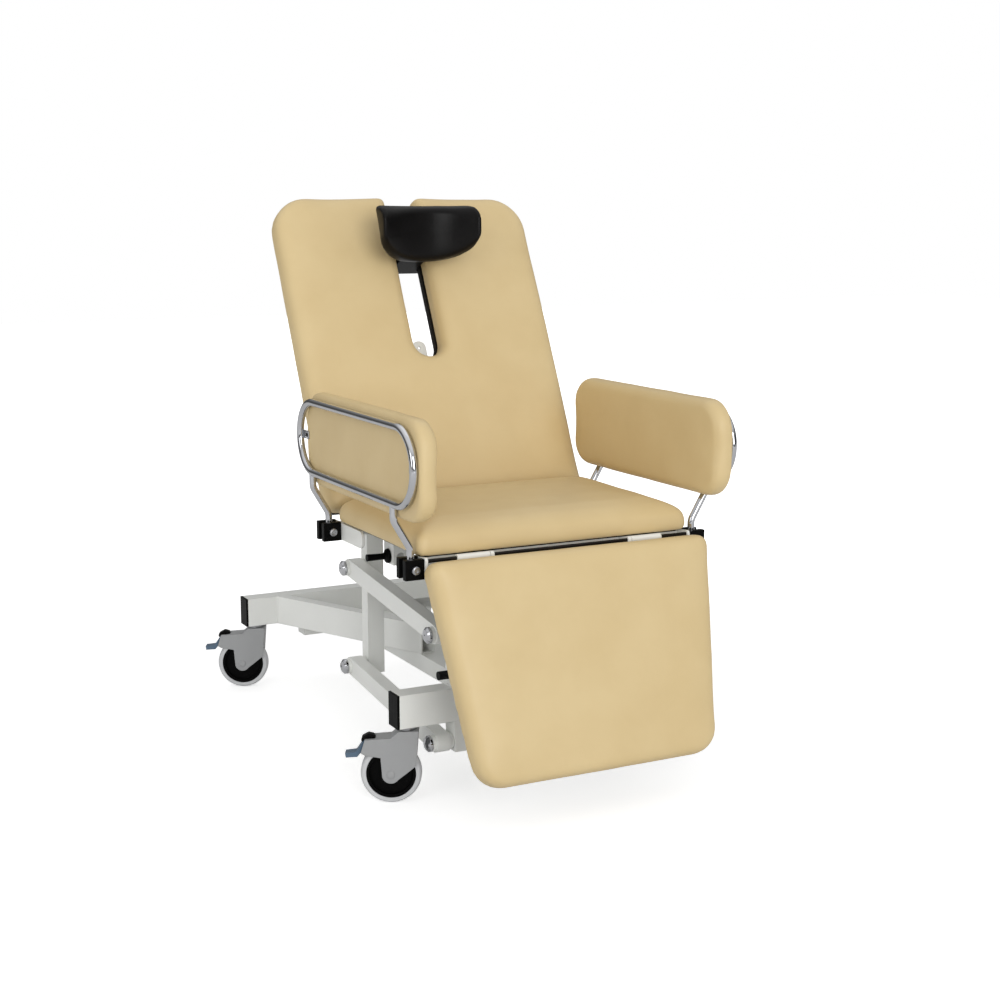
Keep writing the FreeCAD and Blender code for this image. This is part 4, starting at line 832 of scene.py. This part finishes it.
@dataclass
class HeadPad(Cushion):
    """The cupped black headrest, lofted across its width.

    Attributes:
        half_width: From the middle to a wing's outer face.
        depth: From the rear of the middle to the front of a wing.
        rise: Top above the tilt pin.
        fall: Bottom below the tilt pin.
        corner: Middle radius of the section's corners.
        slope: Lean of the wings' rear edges.
        sweep: How much higher the wings end than the middle at the rear.
        wing_lift: The same at the front.
        wing_round: Radius of a wing's upper front corner.
        end_round: Radius of the edge round a wing's outer face.
    """

    half_width: float = 121.0
    depth: float = 108.0
    rise: float = 69.0
    fall: float = 64.0
    corner: float = 18.0
    slope: float = 0.45
    sweep: float = 40.0
    wing_lift: float = 65.0
    wing_round: float = 40.0
    end_round: float = 12.0

    def section(self, x: float, inset: float) -> list[Point]:
        """Outline of the cup at a place across it.

        Args:
            x: Place across the headrest.
            inset: How far the outline moves inwards.

        Returns:
            Points as depth and height pairs.
        """
        share = x / self.half_width
        wing = abs(share) ** 2.4
        lean = self.slope * wing
        back = -0.56 * self.depth * wing
        front = -self.thickness - (self.depth - self.thickness) * wing
        low = -self.fall + self.sweep * share ** 6
        front_low = -self.fall + self.wing_lift * wing
        corners = [(front, front_low), (back + lean * low, low), (back + lean * self.rise, self.rise),
                   (front, self.rise)]
        round_front = self.corner + (self.wing_round - self.corner) * wing
        return rounded_loop(corners, [self.corner, 0.7 * self.corner, 0.5 * self.corner, round_front], inset)

    def start_mesh(self) -> bmesh.types.BMesh:
        """Closed cup of rounded sections from wing to wing.

        Returns:
            The mesh in chair directions about the tilt pin's rear face, in millimetres.
        """
        inner = self.half_width - self.end_round
        stations = [(inner * step / 10, 0.0) for step in range(-10, 11)]
        for angle in (22.5, 45.0, 67.5, 85.0):
            turn = math.radians(angle)
            x, inset = inner + self.end_round * math.sin(turn), self.end_round * (1 - math.cos(turn))
            stations = [(-x, inset), *stations, (x, inset)]
        mesh = bmesh.new()
        rings = [[mesh.verts.new((x, y, z)) for y, z in self.section(x, inset + self.shrink)]
                 for x, inset in stations]
        skin(mesh, rings)
        return mesh

    def held(self, point: Vector) -> bool:
        """Whether a point is on the rear face by the lug."""
        return abs(point.x) < 26 and point.y > -self.shrink - 2.5


# Fittings

@dataclass
class Fitting:
    """A small rigid piece put together from turned and flat forms and weld beads, in millimetres.

    Attributes:
        name: Of the piece.
        body: The body it rides on.
        finish: Its finish.
        mesh: Its forms so far.
    """

    name: str
    body: str
    finish: Finish
    mesh: bmesh.types.BMesh = field(default_factory=bmesh.new)

    @staticmethod
    def ring(radius: float, height: float, flats: int = 0, sides: int = 24) -> list[Vector]:
        """Points of one ring about Z.

        Args:
            radius: Of the circle, or of the circle round a polygon.
            height: Along Z.
            flats: Number of flat sides; 0 gives a circle.
            sides: Number of points.

        Returns:
            The points.
        """
        points = []
        for side in range(sides):
            turn = 2 * math.pi * side / sides
            half = math.pi / flats if flats else 0.0
            reach = radius * math.cos(half) / math.cos(turn % (2 * half) - half) if flats else radius
            points.append(Vector((reach * math.cos(turn), reach * math.sin(turn), height)))
        return points

    def rings(self, rings: Sequence[Sequence[Vector]], place: Matrix) -> None:
        """Add a form skinned over a row of closed rings."""
        skin(self.mesh, [[self.mesh.verts.new(place @ point) for point in ring] for ring in rings])

    def socket_head(self, radius: float, height: float, place: Matrix) -> None:
        """Add a domed screw head with a hexagon socket.

        Args:
            radius: Of the head.
            height: Of the head.
            place: From its own axis, along Z, to the chair.
        """
        socket = 0.5 * radius
        outer = [(radius, 0.0), (radius, 0.45 * height), (0.9 * radius, 0.8 * height), (0.68 * radius, height)]
        rings = [self.ring(reach, level) for reach, level in outer]
        rings += [self.ring(socket, height, 6), self.ring(0.94 * socket, 0.3 * height, 6)]
        self.rings(rings, place)

    def nut(self, radius: float, height: float, place: Matrix) -> None:
        """Add a hexagon nut with a domed end.

        Args:
            radius: Of the nut.
            height: Of the nut.
            place: From its own axis, along Z, to the chair.
        """
        levels = [(radius, 0.0), (radius, 0.8 * height), (0.88 * radius, height)]
        self.rings([self.ring(reach, level, 6) for reach, level in levels] + [self.ring(0.5 * radius, 1.3 * height)],
                   place)

    def slab(self, outline: Sequence[Point], radius: float, low: float, high: float, place: Matrix,
             edge: float = 0.8) -> None:
        """Add a flat form with rounded corners and softened edges.

        Args:
            outline: Corners, anticlockwise.
            radius: Of every corner.
            low: Start of the thickness along the place's own Z.
            high: End of the thickness.
            place: From the outline's plane to the chair.
            edge: Size of the softened edges.
        """
        levels = ((low, edge), (low + edge, 0.0), (high - edge, 0.0), (high, edge))
        radii = [radius] * len(outline)
        self.rings([[Vector((u, v, level)) for u, v in rounded_loop(outline, radii, inset, turns=4, steps=0)]
                    for level, inset in levels], place)

    def bead(self, start: Sequence[float], end: Sequence[float], radius: float = 2.4, pitch: float = 3.2) -> None:
        """Add a weld bead with its ripples between two points.

        Args:
            start: First point.
            end: Last point.
            radius: Middle radius of the bead.
            pitch: Length of a ripple.
        """
        line = Vector(end) - Vector(start)
        place = Matrix.Translation(start) @ line.to_track_quat("Z", "Y").to_matrix().to_4x4()
        count = max(int(2 * line.length / pitch), 2)
        swell = [radius * (1.0 + (0.16 if step % 2 else -0.1)) for step in range(count + 1)]
        swell[0] = swell[-1] = 0.5 * radius
        self.rings([self.ring(reach, line.length * step / count, sides=10)
                    for step, reach in enumerate(swell)], place)

    def build(self) -> bpy.types.Object:
        """Put the piece on its body, smooth but for its sharp edges.

        Returns:
            The finished piece.
        """
        bmesh.ops.recalc_face_normals(self.mesh, faces=self.mesh.faces)
        bmesh.ops.scale(self.mesh, vec=(MM, MM, MM), verts=self.mesh.verts)
        data = bpy.data.meshes.new(self.name)
        self.mesh.to_mesh(data)
        self.mesh.free()
        data.shade_smooth()
        data.set_sharp_from_angle(angle=math.radians(42))
        piece = put(self.name, data)
        finish_object(piece, self.finish)
        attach(piece, self.body)
        return piece


@dataclass
class ClampBolts:
    """Socket heads and nuts on the bolts that the armrests fold about."""

    half_spread: float = 326.0
    rows: Point = (-439.5, -8.5)
    height: float = 506.0
    head_reach: float = 27.0
    nut_reach: float = 22.0
    radius: float = 8.6

    def build(self) -> list[bpy.types.Object]:
        """Make the heads in front and the nuts behind.

        Returns:
            The finished pieces.
        """
        heads = Fitting("clamp_bolt_heads", "carrier", STEEL)
        nuts = Fitting("clamp_bolt_nuts", "carrier", STEEL)
        for x in (-self.half_spread, self.half_spread):
            for y in self.rows:
                turn = Matrix.Rotation(math.pi / 2, 4, "X")
                ahead = Matrix.Translation((x, y - self.head_reach, self.height))
                behind = Matrix.Translation((x, y + self.nut_reach, self.height))
                heads.socket_head(self.radius, 3.0, ahead @ turn)
                nuts.nut(self.radius, 6.0, behind @ turn.inverted())
        return [heads.build(), nuts.build()]


@dataclass
class PadClips:
    """Small plates that hold an arm pad to both ends of its loop."""

    name: str
    side: int
    loop: float = 361.0
    ends: Point = (-536.5, 61.5)
    height: float = 712.0
    tongue: Point = (5.0, 34.0)
    half_height: float = 9.0
    face: float = -8.3
    gauge: float = 3.0

    def build(self) -> list[bpy.types.Object]:
        """Make two plates, each with its screw.

        Returns:
            The finished pieces.
        """
        plates = Fitting(f"armrest_{self.name}_clips", f"{self.name}_armrest", STEEL)
        screws = Fitting(f"armrest_{self.name}_clip_screws", f"{self.name}_armrest", DARK_STEEL)
        (start, end), half = self.tongue, self.half_height
        outline = [(start, -half), (end, -half), (end, half), (start, half)]
        for y, inward in zip(self.ends, (1, -1)):
            spot = (self.side * self.loop, y, self.height)
            place = plane((0, inward, 0), (0, 0, 1), (self.side, 0, 0), spot)
            plates.slab(outline, 3.0, self.face, self.face + self.gauge, place)
            screws.socket_head(4.0, 1.8, place @ Matrix.Translation((end - half, 0, self.face + self.gauge)))
        return [plates.build(), screws.build()]


@dataclass
class CastorTrim:
    """Brake horn and axle caps of one castor."""

    end: str
    hand: str
    toe: float = 27.0
    half_width: float = 23.0
    horn: tuple[Point, ...] = ((33, 66), (53, 63), (61, 68), (59, 76), (46, 83), (33, 80))
    horn_half: float = 10.5
    cap_radius: float = 8.5

    def build(self) -> list[bpy.types.Object]:
        """Make the horn on the brake and the caps on the housing.

        Returns:
            The finished pieces.
        """
        name = f"castor_{self.end}_{self.hand}"
        low, high = node_box(f"{name}_tyre")
        turn = math.radians(self.toe if self.hand == "right" else 180 - self.toe)
        wheel = Matrix.Translation((low + high) / 2) @ Matrix.Rotation(turn, 4, "Z")
        across = wheel @ Matrix.Rotation(math.pi / 2, 4, "X")
        horn = Fitting(f"{name}_horn", f"{name}_brake", BLACK_PLASTIC)
        horn.slab(self.horn, 4.0, -self.horn_half, self.horn_half, across, edge=2.5)
        caps = Fitting(f"{name}_axle_caps", f"{name}_fork", GREY_PLASTIC)
        for side in (0.0, math.pi):
            place = across @ Matrix.Rotation(side, 4, "X") @ Matrix.Translation((0, 0, self.half_width))
            levels = ((self.cap_radius, -0.5), (self.cap_radius, 0.7), (0.8 * self.cap_radius, 1.8),
                      (0.3 * self.cap_radius, 2.1))
            caps.rings([Fitting.ring(reach, level) for reach, level in levels], place)
        return [horn.build(), caps.build()]


@dataclass
class WeldBeads:
    """Weld beads where brackets, spine and posts meet the beams and rails."""

    bracket: Point = (159.0, 204.0)
    beam_faces: Point = (-380.0, -335.0)
    beam_levels: Point = (161.0, 231.0)
    post: Point = (164.0, 204.0)
    post_faces: Point = (72.75, 106.75)
    post_top: float = 492.0
    full: float = 2.4
    slim: float = 1.2
    spine_half: float = 50.0
    brace: Point = (217.0, 249.0)
    rear_face: float = 555.0

    def build(self) -> list[bpy.types.Object]:
        """Make the beads of the base and those of the seat frame.

        Returns:
            The finished pieces.
        """
        base = Fitting("base_welds", "base", PAINT)
        seat = Fitting("seat_frame_welds", "carrier", PAINT)
        front, rear = self.beam_faces
        for side in (-1, 1):
            for level in self.beam_levels:
                for x in self.bracket:
                    base.bead((side * x, front + 3, level), (side * x, rear - 3, level))
            for x in self.brace:
                base.bead((side * x, self.rear_face, self.beam_levels[0] + 3),
                          (side * x, self.rear_face, self.beam_levels[1] - 3))
            near, far = self.post_faces
            for y in self.post_faces:
                seat.bead((side * (self.post[0] + 2), y, self.post_top),
                          (side * (self.post[1] - 2), y, self.post_top))
            for x, radius in zip(self.post, (self.full, self.slim)):
                seat.bead((side * x, near + 2, self.post_top), (side * x, far - 2, self.post_top), radius)
        for y in (rear, self.rear_face):
            base.bead((-self.spine_half + 3, y, self.beam_levels[0]), (self.spine_half - 3, y, self.beam_levels[0]))
        return [base.build(), seat.build()]


@dataclass
class FrameScrews:
    """Screws that hold the board of one section to its frame."""

    body: str
    hinge: Point
    lean: float
    half_spread: float
    face: float
    rows: tuple[float, ...]

    def build(self) -> list[bpy.types.Object]:
        """Make two columns of screws.

        Returns:
            The finished piece.
        """
        screws = Fitting(f"{self.body}_screws", self.body, STEEL)
        for along in self.rows:
            for x in (-self.half_spread, self.half_spread):
                place = tilted(*self.hinge, self.lean, along, self.face) @ Matrix.Translation((x, 0, 0))
                screws.socket_head(5.5, 2.6, place @ Matrix.Rotation(math.pi, 4, "X"))
        return [screws.build()]


# Studio

@dataclass
class Studio:
    """Floor, lights, background and camera."""

    camera_spot: tuple[float, float, float] = (-1.6192, -3.3288, 1.2032)
    camera_turn: tuple[float, float, float] = (math.pi / 2 - 0.176, 0.0, -0.476)
    lens: float = 59.76
    floor_half: float = 14.0
    shadow_reach: float = 1.1
    floor_glow: float = 0.55
    ambient: float = 0.64
    room_dim: float = 0.1
    room_bright: float = 0.9

    def build(self) -> None:
        """Make everything that isn't part of the chair."""
        self.floor()
        self.lights()
        self.background()
        self.camera()
        bpy.context.scene.view_settings.view_transform = "Standard"

    def floor(self) -> None:
        """Pale floor that reads as white and keeps the chair's shadow."""
        reach = self.floor_half
        data = bpy.data.meshes.new("studio_floor")
        data.from_pydata([(-reach, -reach, 0), (reach, -reach, 0), (reach, reach, 0), (-reach, reach, 0)], [],
                         [(0, 1, 2, 3)])
        floor = put("studio_floor", data)
        material = bpy.data.materials.new("studio_floor")
        tree = Tree.of(material)
        matt = tree.add("BsdfDiffuse", Color=(0.8, 0.8, 0.8, 1.0))
        seen = tree.add("LightPath").outputs["Is Camera Ray"]
        spot = tree.add("TexCoord").outputs["Object"]
        distance = tree.add("VectorMath", {"operation": "LENGTH"}, i0=spot).outputs["Value"]
        far = tree.add("MapRange", Value=distance, From_Min=self.shadow_reach, From_Max=2 * self.shadow_reach)
        strength = tree.add("Mix", i0=far.outputs[0], i2=self.floor_glow, i3=1.0)
        glow = tree.add("Emission", Color=(1.0, 1.0, 1.0, 1.0), Strength=tree.math(
            "MULTIPLY", seen, strength.outputs[0]))
        both = tree.add("AddShader", i0=matt.outputs[0], i1=glow.outputs[0])
        tree.add("OutputMaterial", Surface=both.outputs[0])
        data.materials.append(material)

    def lights(self) -> None:
        """Soft lamps: a broad one in front, a weaker one by the camera and one above."""
        aim = Vector((0.0, -0.05, 0.62))
        lamps = (
            ("key", (-1.2, -11.0, 3.6), 6.0, 470.0),
            ("side", (-5.6, -2.6, 2.2), 3.0, 52.0),
            ("top", (0.2, 0.4, 3.6), 2.4, 4.0),
        )
        for name, spot, size, power in lamps:
            data = bpy.data.lights.new(f"studio_{name}", "AREA")
            data.size = size
            data.energy = power
            lamp = put(f"studio_{name}", data)
            lamp.location = spot
            lamp.rotation_euler = (aim - Vector(spot)).to_track_quat("-Z", "Y").to_euler()

    def background(self) -> None:
        """Even pale light from all round, white to the eye and a dim room with a bright ceiling in mirrors."""
        world = bpy.data.worlds.new("studio")
        bpy.context.scene.world = world
        tree = Tree.of(world)
        path = tree.add("LightPath")
        height = tree.add("SeparateXYZ", Vector=tree.add("TexCoord").outputs["Generated"]).outputs["Z"]
        ceiling = tree.add("MapRange", {"interpolation_type": "SMOOTHSTEP"}, Value=height, From_Min=0.2, From_Max=0.8,
                           To_Min=self.room_dim, To_Max=self.room_bright)
        room = tree.add("Mix", i0=path.outputs["Is Glossy Ray"], i2=self.ambient, i3=ceiling.outputs[0])
        strength = tree.add("Mix", i0=path.outputs["Is Camera Ray"], i2=room.outputs[0], i3=1.0)
        sky = tree.add("Background", Color=(1.0, 1.0, 1.0, 1.0), Strength=strength.outputs[0])
        tree.add("OutputWorld", Surface=sky.outputs[0])

    def camera(self) -> None:
        """Camera where the photograph was taken from."""
        data = bpy.data.cameras.new("studio_camera")
        data.lens = self.lens
        data.sensor_width = 36.0
        camera = put("studio_camera", data)
        camera.location = self.camera_spot
        camera.rotation_euler = self.camera_turn
        bpy.context.scene.camera = camera


@dataclass
class Chair:
    """All the pieces in the order they are made."""

    head_spot: tuple[float, float, float] = (0.0, 236.1, 1133.95)

    def build(self) -> None:
        """Dress the solids, then make the soft pieces and the fittings."""
        log.info("dressed %d nodes", Carried().dress())
        for pad in (SeatPad(), LegPad(), BackPad(), ArmPad("left", -1), ArmPad("right", 1)):
            log.info("made %s", pad.build().name)
        head = HeadPad("headrest_pad", "headrest", BLACK_VINYL, (), (), 48.0, Matrix.Translation(self.head_spot),
                       cap=3.0, side_cap=3.0, voxel=4.0)
        log.info("made %s", head.build().name)
        castors = [CastorTrim(end, hand) for end in ("front", "rear") for hand in ("left", "right")]
        screws = (FrameScrews("back_section", BACK_HINGE, BACK_LEAN, half_spread=221.0, face=12.0,
                              rows=(110.0, 260.0, 410.0, 560.0, 660.0)),
                  FrameScrews("leg_section", LEG_HINGE, LEG_LEAN, half_spread=200.0, face=7.4,
                              rows=(-190.0, -255.0, -320.0, -388.0)))
        for group in (ClampBolts(), PadClips("left", -1), PadClips("right", 1), *castors, WeldBeads(), *screws):
            for piece in group.build():
                log.info("made %s", piece.name)


def main() -> None:
    """Set the studio, then build and dress the chair."""
    logging.basicConfig(level=logging.INFO, format="%(message)s")
    Studio().build()
    Chair().build()


if __name__ == "__main__":
    main()
